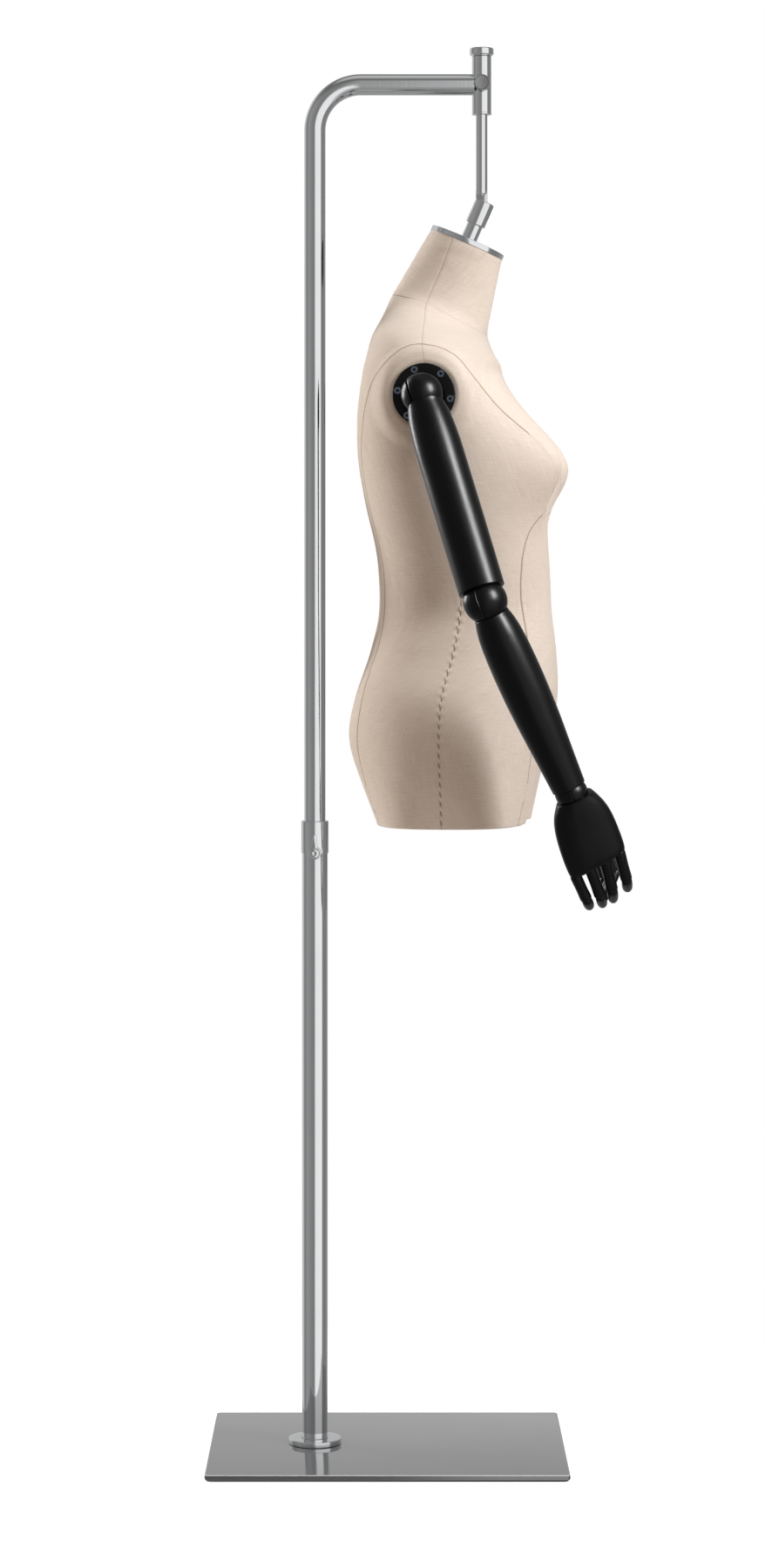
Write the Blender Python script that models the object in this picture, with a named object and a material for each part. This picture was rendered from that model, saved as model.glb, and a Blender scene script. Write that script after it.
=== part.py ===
"""Dress form mannequin with articulated arms, hung from a height-adjustable stand.

Metres, +Z up, +X towards the mannequin's front, +Y to its left. The origin is the centre of the underside of the
base pad. Limb frames hang down their own -Z axis, with the hinge of the joint along X.
"""

import math

import bmesh
import bpy
from mathutils import Matrix, Vector

GAP = 0.0003  # between faces that touch on the real object
RUNNING = 0.0004  # between faces that move on each other

# Stand
PLATE_LENGTH = 0.400
PLATE_WIDTH = 0.300
PLATE_THICK = 0.006
PLATE_CORNER = 0.005
PAD_THICK = 0.0012
PAD_INSET = 0.002
PLATE_BOTTOM = PAD_THICK + GAP
PLATE_TOP = PLATE_BOTTOM + PLATE_THICK
POST_X = -0.082
FLANGE_RADIUS = 0.030
FLANGE_HEIGHT = 0.006
LOWER_RADIUS = 0.0145
LOWER_BORE = 0.0132
LOWER_TOP = 0.706
BOLT_RADIUS = 0.0042
BOLT_HEAD_RADIUS = 0.009
BOLT_HEAD_HEIGHT = 0.0045
PLUG_LENGTH = 0.026
COLLAR_RADIUS = 0.0155
COLLAR_BOTTOM = 0.676
COLLAR_TOP = 0.7125
SCREW_HEIGHT = 0.677
SCREW_RADIUS = 0.003
BOSS_RADIUS = 0.0075
BOSS_FACE = 0.0195
LEVER_LENGTH = 0.022
UPPER_RADIUS = 0.012
UPPER_BORE = 0.0105
UPPER_BOTTOM = 0.400
ARM_HEIGHT = 1.5467
BEND_RADIUS = 0.052
ARM_END = 0.0095  # from the hanger's axis

# Hanger
HANGER_X = 0.107
SLEEVE_RADIUS = 0.0109
SLEEVE_BORE = 0.007
SLEEVE_BOTTOM = 1.5125
SLEEVE_TOP = 1.5785
ROD_RADIUS = 0.0065
ROD_SHOULDER = 1.4236
STUD_RADIUS = 0.004
CAP_RADIUS = 0.0135
CAP_TOP = 1.588
KNOB_RADIUS = 0.009
KNOB_FACE = 0.0215
PIVOT_HEIGHT = 1.405
PIN_RADIUS = 0.003
TONGUE_THICK = 0.006

# Neck joint, measured along its own tilted axis from the pivot
NECK_TILT = 23.5
FORK_RADIUS = 0.01125
FORK_TOP = 0.0094
FORK_BOTTOM = -0.0184
FORK_SLOT_BOTTOM = -0.0078
STEM_RADIUS = 0.009
NECK_CAP_RADIUS = 0.044
NECK_CAP_TOP = -0.0378
NECK_CAP_THICK = 0.006
NECK_BLOCK_RADIUS = 0.0375
NECK_BLOCK_THICK = 0.020

# Torso, in a frame whose origin is on the hanger rod's axis at floor level
TORSO_YAW = -6.0
TORSO_BOTTOM = 0.7135
COVER_THICK = 0.0010
SHELL_THICK = 0.0042
BOARD_THICK = 0.006
TORSO_LEVELS = (0, 1, 2, 3, 4, 5, 5.7, 6.4, 7, 7.5, 8, 8.5, 9, 9.5, 10, 11, 12, 13, 14, 15, 16)  # rows sampled below
TORSO_AROUND = 24

# Each row is a level section: height of its widest points, tilt in degrees, where the widest points lie (x), how far
# the section reaches behind and in front of them, half its width, and how square it is (2 is an ellipse).
SECTIONS = [
    (1.3646, 23.5, -0.0176, 0.0437, 0.0437, 0.0437, 2.0),
    (1.3110, 22.8, -0.0384, 0.0535, 0.0530, 0.0480, 2.0),
    (1.2865, 21.0, -0.0478, 0.0580, 0.0580, 0.0610, 2.0),
    (1.2680, 14.0, -0.0530, 0.0610, 0.0640, 0.0980, 2.1),
    (1.2515, 8.0, -0.0550, 0.0680, 0.0690, 0.1300, 2.25),
    (1.2350, 4.0, -0.0540, 0.0735, 0.0740, 0.1470, 2.4),
    (1.2120, 1.0, -0.0530, 0.0800, 0.0780, 0.1545, 2.5),
    (1.1650, 0.0, -0.0500, 0.0885, 0.0990, 0.1545, 2.5),
    (1.1175, 0.0, -0.0450, 0.0925, 0.1120, 0.1470, 2.4),
    (1.0700, 0.0, -0.0360, 0.0940, 0.1060, 0.1380, 2.3),
    (1.0110, 0.0, -0.0220, 0.0960, 0.0980, 0.1210, 2.2),
    (0.9515, 0.0, -0.0160, 0.1000, 0.0950, 0.1080, 2.15),
    (0.9050, 0.0, -0.0220, 0.1030, 0.1060, 0.1230, 2.2),
    (0.8570, 0.0, -0.0300, 0.1080, 0.1155, 0.1490, 2.25),
    (0.8090, 0.0, -0.0340, 0.1090, 0.1120, 0.1630, 2.25),
    (0.7620, 0.0, -0.0340, 0.0980, 0.0995, 0.1650, 2.45),
    (TORSO_BOTTOM, 0.0, -0.0340, 0.0800, 0.0880, 0.1600, 2.9),
]
BUST = {"side": 0.080, "height": 1.115, "depth": 0.038, "width": 0.054, "above": 0.054, "below": 0.050}
SEAT = {"side": 0.070, "height": 0.815, "depth": 0.007, "width": 0.050, "above": 0.060, "below": 0.060}
NOTCH_TOP = 0.790
NOTCH_WIDTH = 0.022
NOTCH_FRONT = 0.022
NOTCH_BACK = 0.018

# Shoulders, in the torso's frame
SHOULDER_X = -0.051
SHOULDER_HEIGHT = 1.187
SHOULDER_SIDE = 0.178
ARMHOLE_SIDE = 0.1545
ARMHOLE_FLAT = 0.040
ARMHOLE_BLEND = 0.064
RING_RADIUS = 0.0345
RING_HOLE = 0.022
RING_THICK = 0.0045
SOCKET_RADIUS = 0.0240
SOCKET_DEPTH = 0.0240
AXLE_RADIUS = 0.005
NUT_RADIUS = 0.009

# Arms
SHOULDER_BALL = 0.023
ELBOW_BALL = 0.024
WRIST_BALL = 0.01785
UPPER_ARM_LENGTH = 0.2421
FOREARM_LENGTH = 0.2288
SHOULDER_SWING = {-1: 17.8, 1: 12.1}  # right, left
SHOULDER_LIFT = {-1: 12.0, 1: 11.5}
ELBOW_TWIST = {-1: 14.5, 1: 33.0}
ELBOW_BEND = {-1: 23.1, 1: 18.6}
WRIST_TWIST = {-1: -20.0, 1: -100.0}
WRIST_BEND = {-1: 5.0, 1: -8.9}
TONGUE_WIDTH = 0.014
SLOT_WIDTH = 0.0036
PLATE_LINK = 0.0026
SHOULDER_SLOT_X = -0.012
HINGE_PIN = 0.0022

# Outlines of the limbs: distance from the joint's centre, and radius
UPPER_ARM_OUTLINE = [(0.020, 0.0217), (0.033, 0.0236), (0.060, 0.0255), (0.150, 0.0255), (0.228, 0.0253)]
UPPER_ARM_END = 0.2293
FOREARM_OUTLINE = [
    (0.025, 0.0215),
    (0.040, 0.0238),
    (0.065, 0.0252),
    (0.100, 0.0254),
    (0.140, 0.0240),
    (0.180, 0.0213),
    (0.2215, 0.0186),
]
FOREARM_END = 0.2226

# Hands. Palm rows: distance from the wrist, centre (x), half width and half thickness
PALM_ROWS = [
    (0.0062, 0.0010, 0.0210, 0.0178),
    (0.0180, -0.0005, 0.0275, 0.0172),
    (0.0300, -0.0012, 0.0314, 0.0162),
    (0.0450, -0.0022, 0.0336, 0.0150),
    (0.0650, -0.0036, 0.0344, 0.0138),
    (0.0790, -0.0044, 0.0340, 0.0124),
    (0.0850, -0.0046, 0.0328, 0.0104),
]
KNUCKLE_SLANT = 0.094
KNUCKLE_DISTANCE = 0.0868
FINGERS = {  # knuckle's x, sideways lean in degrees, lengths of the two segments
    "little": (-0.0325, -1.0, 0.0320, 0.0250),
    "ring": (-0.0150, 3.0, 0.0370, 0.0290),
    "middle": (0.0035, 9.0, 0.0390, 0.0310),
    "index": (0.0212, 8.0, 0.0360, 0.0290),
}
FINGER_RADIUS = 0.0064
TIP_BALL = 0.0057
KNUCKLE_BEND = 13.0
MIDDLE_BEND = 40.0
THUMB_X = 0.015
THUMB_DISTANCE = 0.028
THUMB_LEAN = 14.0
THUMB_OUT = 6.0
THUMB_BEND = 8.0
THUMB_RADIUS = 0.0066
THUMB_LENGTHS = (0.027, 0.024)

TUBE_SEGMENTS = 20
BALL_SEGMENTS = 16
FINGER_SEGMENTS = 8

SIDES = {-1: "right", 1: "left"}


# ---------------------------------------------------------------- materials


def material(name, colour, roughness, metallic):
    made = bpy.data.materials.new(name)
    made.use_nodes = True
    shader = made.node_tree.nodes["Principled BSDF"]
    shader.inputs["Base Color"].default_value = (*colour, 1.0)
    shader.inputs["Roughness"].default_value = roughness
    shader.inputs["Metallic"].default_value = metallic
    return made


def make_materials():
    return {
        "chrome": material("chrome", (0.72, 0.73, 0.74), 0.14, 1.0),
        "plate": material("plate", (0.30, 0.31, 0.31), 0.22, 1.0),
        "steel": material("steel", (0.45, 0.46, 0.47), 0.35, 1.0),
        "pad": material("pad", (0.03, 0.03, 0.03), 0.9, 0.0),
        "nylon": material("nylon", (0.08, 0.08, 0.08), 0.5, 0.0),
        "cover": material("cover", (0.80, 0.69, 0.56), 0.9, 0.0),
        "shell": material("shell", (0.62, 0.52, 0.38), 0.7, 0.0),
        "timber": material("timber", (0.55, 0.38, 0.22), 0.6, 0.0),
        "lacquer": material("lacquer", (0.012, 0.012, 0.014), 0.32, 0.0),
    }


# ---------------------------------------------------------------- mesh helpers


def turn(axis, degrees):
    return Matrix.Rotation(math.radians(degrees), 4, axis)


def shift(x, y, z):
    return Matrix.Translation((x, y, z))


def frame(name, local, parent=None):
    """An empty that carries the pieces of one moving body, on its joint's axis."""
    empty = bpy.data.objects.new(name, None)
    empty.empty_display_size = 0.02
    bpy.context.scene.collection.objects.link(empty)
    empty.parent = parent
    empty.matrix_basis = local
    return empty


def place(name, mesh_builder, look, parent, local=None):
    mesh_builder.normal_update()
    bmesh.ops.recalc_face_normals(mesh_builder, faces=mesh_builder.faces)
    if mesh_builder.calc_volume(signed=True) < 0:
        bmesh.ops.reverse_faces(mesh_builder, faces=mesh_builder.faces)
    mesh = bpy.data.meshes.new(name)
    mesh_builder.to_mesh(mesh)
    mesh_builder.free()
    mesh.shade_smooth()
    mesh.set_sharp_from_angle(angle=math.radians(35))
    if look is not None:
        mesh.materials.append(look)
    made = bpy.data.objects.new(name, mesh)
    bpy.context.scene.collection.objects.link(made)
    made.parent = parent
    made.matrix_basis = local or Matrix.Identity(4)
    return made


def rings_mesh(rings, closed_loop=False):
    """Skins rings of points. A ring of one point is a tip, and an open end is filled with a flat face."""
    builder = bmesh.new()
    made = [[builder.verts.new(point) for point in ring] for ring in rings]
    pairs = list(zip(made, made[1:]))
    if closed_loop:
        pairs.append((made[-1], made[0]))
    for first, second in pairs:
        count = max(len(first), len(second))
        for i in range(count):
            j = (i + 1) % count
            if len(first) == 1:
                builder.faces.new((first[0], second[i], second[j]))
            elif len(second) == 1:
                builder.faces.new((first[i], second[0], first[j]))
            else:
                builder.faces.new((first[i], second[i], second[j], first[j]))
    if not closed_loop:
        for ring in (made[0], made[-1]):
            if len(ring) > 2:
                builder.faces.new(ring)
    return builder


def circle(radius, z, segments):
    if radius == 0:
        return [Vector((0, 0, z))]
    step = 2 * math.pi / segments
    return [Vector((radius * math.cos(i * step), radius * math.sin(i * step), z)) for i in range(segments)]


def turned(profile, segments, closed_loop=False):
    """A turned shape from (radius, z) pairs. A hollow one is a closed loop of pairs."""
    return rings_mesh([circle(radius, z, segments) for radius, z in profile], closed_loop)


def rod_profile(radius, low, high, chamfer=0.0):
    if chamfer == 0:
        return [(radius, low), (radius, high)]
    return [(radius - chamfer, low), (radius, low + chamfer), (radius, high - chamfer), (radius - chamfer, high)]


def tube_profile(outer, inner, low, high, chamfer=0.0):
    outside = rod_profile(outer, low, high, chamfer)
    return outside + [(inner, high), (inner, low)]


def arc(radius, centre_z, start, end, steps):
    """(radius, z) pairs on a circle about the turning axis; 0 degrees is straight down."""
    pairs = []
    for i in range(steps + 1):
        angle = math.radians(start + (end - start) * i / steps)
        across = radius * math.sin(angle)
        pairs.append((0 if across < 1e-6 else across, centre_z - radius * math.cos(angle)))
    return pairs


def block(low, high):
    builder = bmesh.new()
    bmesh.ops.create_cube(builder, size=1.0)
    centre = [(a + b) / 2 for a, b in zip(low, high)]
    size = [b - a for a, b in zip(low, high)]
    builder.transform(shift(*centre) @ Matrix.Diagonal((*size, 1.0)))
    return builder


def rounded_rectangle(length, width, corner, z, steps=4):
    points = []
    for index, (sign_x, sign_y) in enumerate(((1, 1), (-1, 1), (-1, -1), (1, -1))):
        for i in range(steps + 1):
            angle = math.radians(90 * (index + i / steps))
            x = sign_x * (length / 2 - corner) + corner * math.cos(angle)
            y = sign_y * (width / 2 - corner) + corner * math.sin(angle)
            points.append(Vector((x, y, z)))
    return points


def combine(target, tool, operation):
    """Cuts or joins with a helper object, which is not itself a piece."""
    modifier = target.modifiers.new(operation.lower(), "BOOLEAN")
    modifier.operation = operation
    modifier.solver = "EXACT"
    modifier.object = tool
    tool.hide_render = True
    tool.display_type = "WIRE"


def cut(target, builder, parent, local=None):
    combine(target, place(target.name + "_cutter", builder, None, parent, local), "DIFFERENCE")


def join(target, builder, parent, local=None):
    combine(target, place(target.name + "_added", builder, None, parent, local), "UNION")


# ---------------------------------------------------------------- stand


def plate_rings(length, width, bottom, top, bevel, corner):
    rows = ((bevel, bottom), (0, bottom + bevel), (0, top - bevel), (bevel, top))
    return [
        rounded_rectangle(length - 2 * inset, width - 2 * inset, corner - inset, z) for inset, z in rows
    ]


def make_base(looks, post):
    pad_length = PLATE_LENGTH - 2 * PAD_INSET
    pad_width = PLATE_WIDTH - 2 * PAD_INSET
    pad_rings = [rounded_rectangle(pad_length, pad_width, PLATE_CORNER, z) for z in (0.0, PAD_THICK)]
    place("base_pad", rings_mesh(pad_rings), looks["pad"], None)

    rings = plate_rings(PLATE_LENGTH, PLATE_WIDTH, PLATE_BOTTOM, PLATE_TOP, 0.0008, PLATE_CORNER)
    plate = place("base_plate", rings_mesh(rings), looks["plate"], None)
    hole = BOLT_RADIUS + GAP
    head = BOLT_HEAD_RADIUS + GAP
    countersink = [
        (head, PLATE_BOTTOM - 0.001),
        (head, PLATE_BOTTOM + GAP),
        (hole, PLATE_BOTTOM + BOLT_HEAD_HEIGHT + GAP),
        (hole, PLATE_TOP + 0.001),
    ]
    cut(plate, turned(countersink, TUBE_SEGMENTS), post)

    bolt = [
        (BOLT_HEAD_RADIUS, PLATE_BOTTOM + GAP),
        (BOLT_RADIUS, PLATE_BOTTOM + GAP + BOLT_HEAD_HEIGHT),
        (BOLT_RADIUS, PLATE_TOP + PLUG_LENGTH - 0.004),
    ]
    place("post_bolt", turned(bolt, TUBE_SEGMENTS), looks["steel"], post)


def make_lower_post(looks, post):
    foot = PLATE_TOP + GAP
    ring = tube_profile(FLANGE_RADIUS, LOWER_RADIUS + GAP, foot, foot + FLANGE_HEIGHT, 0.0008)
    place("foot_flange", turned(ring, TUBE_SEGMENTS, True), looks["chrome"], post)
    plug = tube_profile(LOWER_BORE - GAP, BOLT_RADIUS + GAP, foot, foot + PLUG_LENGTH)
    place("post_plug", turned(plug, TUBE_SEGMENTS, True), looks["steel"], post)
    tube = tube_profile(LOWER_RADIUS, LOWER_BORE, foot, LOWER_TOP)
    tube = place("lower_tube", turned(tube, TUBE_SEGMENTS, True), looks["chrome"], post)
    screw_hole = turned(rod_profile(SCREW_RADIUS + GAP, 0.010, 0.030), 12)
    cut(tube, screw_hole, post, shift(0, 0, SCREW_HEIGHT) @ turn("X", 90))

    bush_low = SCREW_HEIGHT + 0.012
    bush_top = LOWER_TOP + GAP
    bush = [
        (LOWER_BORE - GAP, bush_low),
        (LOWER_BORE - GAP, bush_top),
        (LOWER_RADIUS, bush_top),
        (LOWER_RADIUS, bush_top + 0.0015),
        (UPPER_RADIUS + GAP, bush_top + 0.0015),
        (UPPER_RADIUS + GAP, bush_low),
    ]
    place("guide_bush", turned(bush, TUBE_SEGMENTS, True), looks["nylon"], post)


def make_lock(looks, post, lever_axis):
    """Collar over the tubes' joint, with a boss low on its side for the locking screw."""
    bore = LOWER_RADIUS + GAP
    shoulder = LOWER_TOP + GAP + 0.0015 + GAP
    profile = [
        (COLLAR_RADIUS - 0.0004, COLLAR_BOTTOM),
        (COLLAR_RADIUS, COLLAR_BOTTOM + 0.001),
        (COLLAR_RADIUS, COLLAR_TOP - 0.0015),
        (COLLAR_RADIUS - 0.0015, COLLAR_TOP),
        (UPPER_RADIUS + GAP, COLLAR_TOP),
        (UPPER_RADIUS + GAP, shoulder),
        (bore, shoulder),
        (bore, COLLAR_BOTTOM),
    ]
    collar = place("lock_collar", turned(profile, TUBE_SEGMENTS, True), looks["chrome"], post)
    towards_front = shift(0, 0, SCREW_HEIGHT) @ turn("X", 90)
    join(collar, turned(rod_profile(BOSS_RADIUS, 0.009, BOSS_FACE, 0.0010), 20), post, towards_front)
    cut(collar, turned(rod_profile(bore, SCREW_HEIGHT - 0.02, shoulder), TUBE_SEGMENTS), post)
    cut(collar, turned(rod_profile(SCREW_RADIUS + GAP, 0.005, BOSS_FACE + 0.005), 12), post, towards_front)

    start = UPPER_RADIUS + GAP
    hub = BOSS_FACE + GAP
    screw = [
        (SCREW_RADIUS, start),
        (SCREW_RADIUS, hub),
        (0.0060, hub),
        (0.0060, hub + 0.005),
        (0.0048, hub + 0.0062),
        (0.0020, hub + 0.0066),
    ]
    lever = place("lock_lever", turned(screw, 16), looks["chrome"], lever_axis, turn("X", 90))
    wing = bmesh.new()
    outline = [(-0.0036, 0.0), (0.0036, 0.0), (0.0026, 0.014), (0.0018, LEVER_LENGTH - 0.002),
               (0.0, LEVER_LENGTH), (-0.0018, LEVER_LENGTH - 0.002), (-0.0026, 0.014)]
    face = wing.faces.new([wing.verts.new((x, -hub - 0.0015, z)) for x, z in outline])
    grown = bmesh.ops.extrude_face_region(wing, geom=[face])
    moved = [item for item in grown["geom"] if isinstance(item, bmesh.types.BMVert)]
    bmesh.ops.translate(wing, verts=moved, vec=(0, -0.0026, 0))
    join(lever, wing, lever_axis)


def bent_tube_path():
    """Points and directions along the upper tube: up the post, round the bend and out along the arm."""
    bend_start = ARM_HEIGHT - BEND_RADIUS
    path = [(Vector((0, 0, UPPER_BOTTOM)), 0.0)]
    steps = 9
    for i in range(steps + 1):
        angle = math.radians(90 * i / steps)
        x = BEND_RADIUS * (1 - math.cos(angle))
        z = bend_start + BEND_RADIUS * math.sin(angle)
        path.append((Vector((x, 0, z)), angle))
    path.append((Vector((HANGER_X - POST_X - ARM_END, 0, ARM_HEIGHT)), math.pi / 2))
    return path


def tube_ring(centre, angle, radius):
    lean = Matrix.Rotation(angle, 3, "Y")
    return [centre + lean @ point for point in circle(radius, 0, TUBE_SEGMENTS)]


def make_upper_tube(looks, mast, hanger):
    path = bent_tube_path()
    outside = [tube_ring(centre, angle, UPPER_RADIUS) for centre, angle in path]
    inside = [tube_ring(centre, angle, UPPER_BORE) for centre, angle in reversed(path)]
    tube = place("upper_tube", rings_mesh(outside + inside, True), looks["chrome"], mast)
    saddle = rod_profile(SLEEVE_RADIUS + GAP, ARM_HEIGHT - 0.02, ARM_HEIGHT + 0.02)
    cut(tube, turned(saddle, TUBE_SEGMENTS), hanger)

    plug = [
        (LOWER_BORE - GAP, UPPER_BOTTOM - 0.006),
        (LOWER_BORE - GAP, UPPER_BOTTOM - GAP),
        (UPPER_BORE - GAP, UPPER_BOTTOM - GAP),
        (UPPER_BORE - GAP, UPPER_BOTTOM + 0.018),
    ]
    place("glide_plug", turned(plug, TUBE_SEGMENTS), looks["nylon"], mast)


def make_hanger(looks, hanger, knob_axis, cap_axis):
    sleeve = tube_profile(SLEEVE_RADIUS, SLEEVE_BORE, SLEEVE_BOTTOM, SLEEVE_TOP, 0.0007)
    sleeve = place("hanger_sleeve", turned(sleeve, TUBE_SEGMENTS, True), looks["chrome"], hanger)
    towards_front = shift(0, 0, ARM_HEIGHT) @ turn("X", 90)
    shank = 0.0023
    cut(sleeve, turned(rod_profile(shank + GAP, 0.003, 0.020), 12), hanger, towards_front)

    face = SLEEVE_RADIUS + 0.0008
    knob = [
        (shank, SLEEVE_BORE + GAP),
        (shank, face),
        (KNOB_RADIUS - 0.0006, face),
        (KNOB_RADIUS, face + 0.0006),
        (KNOB_RADIUS, KNOB_FACE - 0.0006),
        (KNOB_RADIUS - 0.0006, KNOB_FACE),
    ]
    place("hanger_knob", turned(knob, TUBE_SEGMENTS), looks["chrome"], knob_axis, turn("X", 90))

    bottom = SLEEVE_TOP + GAP
    bore = STUD_RADIUS + RUNNING
    cap = [
        (bore, bottom + 0.0072),
        (bore, bottom),
        (CAP_RADIUS - 0.0014, bottom),
        (CAP_RADIUS, bottom + 0.0014),
        (CAP_RADIUS, CAP_TOP - 0.0018),
        (CAP_RADIUS - 0.0018, CAP_TOP),
    ]
    place("hanger_cap", turned(cap, TUBE_SEGMENTS), looks["chrome"], cap_axis)


def make_rod(looks, rod_frame, pivot):
    profile = [
        (ROD_RADIUS, ROD_SHOULDER),
        (ROD_RADIUS, SLEEVE_TOP),
        (STUD_RADIUS, SLEEVE_TOP),
        (STUD_RADIUS, SLEEVE_TOP + 0.007),
    ]
    rod = place("hanger_rod", turned(profile, TUBE_SEGMENTS), looks["chrome"], rod_frame)
    across = turn("X", 90)
    tongue_end = turned(rod_profile(ROD_RADIUS - 0.0001, -TONGUE_THICK / 2, TONGUE_THICK / 2), TUBE_SEGMENTS)
    half = ROD_RADIUS - 0.0004
    neck = block((-half, -TONGUE_THICK / 2 + 0.0001, 0), (half, TONGUE_THICK / 2 - 0.0001, 0.024))
    join(rod, neck, pivot)
    join(rod, tongue_end, pivot, across)
    cut(rod, turned(rod_profile(PIN_RADIUS + RUNNING, -0.01, 0.01), 16), pivot, across)


# ---------------------------------------------------------------- neck


def make_neck(looks, neck_axis):
    across = turn("X", 90)
    profile = [
        (FORK_RADIUS - 0.0008, FORK_TOP),
        (FORK_RADIUS, FORK_TOP - 0.0008),
        (FORK_RADIUS, FORK_BOTTOM + 0.0015),
        (FORK_RADIUS - 0.0012, FORK_BOTTOM),
        (STEM_RADIUS, FORK_BOTTOM),
        (STEM_RADIUS, NECK_CAP_TOP + GAP),
        (STUD_RADIUS, NECK_CAP_TOP + GAP),
        (STUD_RADIUS, NECK_CAP_TOP - NECK_CAP_THICK - 0.016),
    ]
    fork = place("neck_fork", turned(profile, TUBE_SEGMENTS), looks["chrome"], neck_axis)
    half = TONGUE_THICK / 2 + RUNNING
    cut(fork, block((-0.02, -half, FORK_SLOT_BOTTOM), (0.02, half, FORK_TOP + 0.01)), neck_axis)
    cut(fork, turned(rod_profile(PIN_RADIUS + GAP, -0.02, 0.02), 16), neck_axis, across)
    pin_half = FORK_RADIUS - 0.0014
    place("pivot_pin", turned(rod_profile(PIN_RADIUS, -pin_half, pin_half), 16), looks["steel"], neck_axis, across)

    bottom = NECK_CAP_TOP - NECK_CAP_THICK
    cap = tube_profile(NECK_CAP_RADIUS, STUD_RADIUS + GAP, bottom, NECK_CAP_TOP, 0.0006)
    place("neck_cap", turned(cap, TUBE_SEGMENTS, True), looks["chrome"], neck_axis)
    top = bottom - GAP
    wood = tube_profile(NECK_BLOCK_RADIUS, STUD_RADIUS + GAP, top - NECK_BLOCK_THICK, top)
    place("neck_block", turned(wood, TUBE_SEGMENTS, True), looks["timber"], neck_axis)


# ---------------------------------------------------------------- torso


def smooth_step(value):
    value = min(1.0, max(0.0, value))
    return value * value * (3 - 2 * value)


def section_at(position):
    """The section at a position along the rows, on a smooth curve through them."""
    last = len(SECTIONS) - 1
    index = min(int(position), last - 1)
    t = position - index
    before = SECTIONS[max(index - 1, 0)]
    here = SECTIONS[index]
    there = SECTIONS[index + 1]
    after = SECTIONS[min(index + 2, last)]
    values = []
    for a, b, c, d in zip(before, here, there, after):
        values.append(b + 0.5 * t * (c - a + t * (2 * a - 5 * b + 4 * c - d + t * (3 * (b - c) + d - a))))
    return values


def mound(shape, side, height):
    """How far a rounded form stands out, at this distance from the centre line and this height."""
    spread = shape["above"] if height > shape["height"] else shape["below"]
    across = (abs(side) - shape["side"]) / shape["width"]
    along = (height - shape["height"]) / spread
    return shape["depth"] * math.exp(-across * across - along * along)


def torso_point(position, angle, inset):
    """A point on the torso. Angle 0 is the front and 90 degrees the left side."""
    height, tilt, widest, behind, ahead, half_width, square = section_at(position)
    cosine, sine = math.cos(angle), math.sin(angle)
    depth = (ahead if cosine > 0 else behind) - inset
    along = math.copysign(depth * abs(cosine) ** (2 / square), cosine)
    side = math.copysign((half_width - inset) * abs(sine) ** (2 / square), sine)
    front = max(0.0, cosine) ** 0.5
    back = max(0.0, -cosine) ** 0.5
    along += front * mound(BUST, side, height) - back * mound(SEAT, side, height)
    low = smooth_step((NOTCH_TOP - height) / (NOTCH_TOP - TORSO_BOTTOM))
    middle = low * math.exp(-((side / NOTCH_WIDTH) ** 2))
    along += middle * (NOTCH_BACK * back - NOTCH_FRONT * front)
    lean = math.radians(tilt)
    x = widest + along * math.cos(lean)
    z = height - along * math.sin(lean)
    reach = math.hypot(x - SHOULDER_X, z - SHOULDER_HEIGHT)
    flat = smooth_step((ARMHOLE_BLEND - reach) / (ARMHOLE_BLEND - ARMHOLE_FLAT))
    if flat > 0 and abs(side) > 0.1:
        side += flat * (math.copysign(ARMHOLE_SIDE - inset, side) - side)
    return Vector((x, side, z))


def torso_ring(position, inset):
    step = 2 * math.pi / TORSO_AROUND
    return [torso_point(position, i * step, inset) for i in range(TORSO_AROUND)]


def torso_skin(outer_inset, inner_inset):
    """A thin hollow body between two insets from the torso's surface, open at the neck and below."""
    builder = bmesh.new()
    skins = []
    for inset in (outer_inset, inner_inset):
        rings = [[builder.verts.new(point) for point in torso_ring(level, inset)] for level in TORSO_LEVELS]
        skins.append(rings)
        for upper, lower in zip(rings, rings[1:]):
            for i in range(TORSO_AROUND):
                j = (i + 1) % TORSO_AROUND
                builder.faces.new((upper[i], lower[i], lower[j]))
                builder.faces.new((upper[i], lower[j], upper[j]))
    for end in (0, -1):
        outer, inner = skins[0][end], skins[1][end]
        for i in range(TORSO_AROUND):
            j = (i + 1) % TORSO_AROUND
            builder.faces.new((outer[i], outer[j], inner[j], inner[i]))
    return builder


def make_torso(looks, torso):
    through = shift(SHOULDER_X, 0, SHOULDER_HEIGHT) @ turn("X", 90)
    hole = SOCKET_RADIUS + 0.0008
    shell_outside = COVER_THICK + GAP
    shell = place("torso_shell", torso_skin(shell_outside, shell_outside + SHELL_THICK), looks["shell"], torso)
    cut(shell, turned(rod_profile(hole, -0.2, 0.2), TUBE_SEGMENTS), torso, through)
    cover = place("torso_cover", torso_skin(0.0, COVER_THICK), looks["cover"], torso)
    cut(cover, turned(rod_profile(hole, -0.2, 0.2), TUBE_SEGMENTS), torso, through)

    board_inset = shell_outside + SHELL_THICK + 0.0012
    last = len(SECTIONS) - 1
    outline = torso_ring(last, board_inset)
    low = TORSO_BOTTOM + GAP
    rings = [[Vector((point.x, point.y, z)) for point in outline] for z in (low, low + BOARD_THICK)]
    place("torso_board", rings_mesh(rings), looks["timber"], torso)


# ---------------------------------------------------------------- arms


def ball_socket_radius(ball):
    """A cup's corner radius, so that its flat faces stay clear of the ball's corners."""
    return (ball + 1.5 * RUNNING) / math.cos(math.pi / BALL_SEGMENTS)


def ball_mesh(radius):
    return turned(arc(radius, 0, 0, 180, 8), BALL_SEGMENTS)


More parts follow.
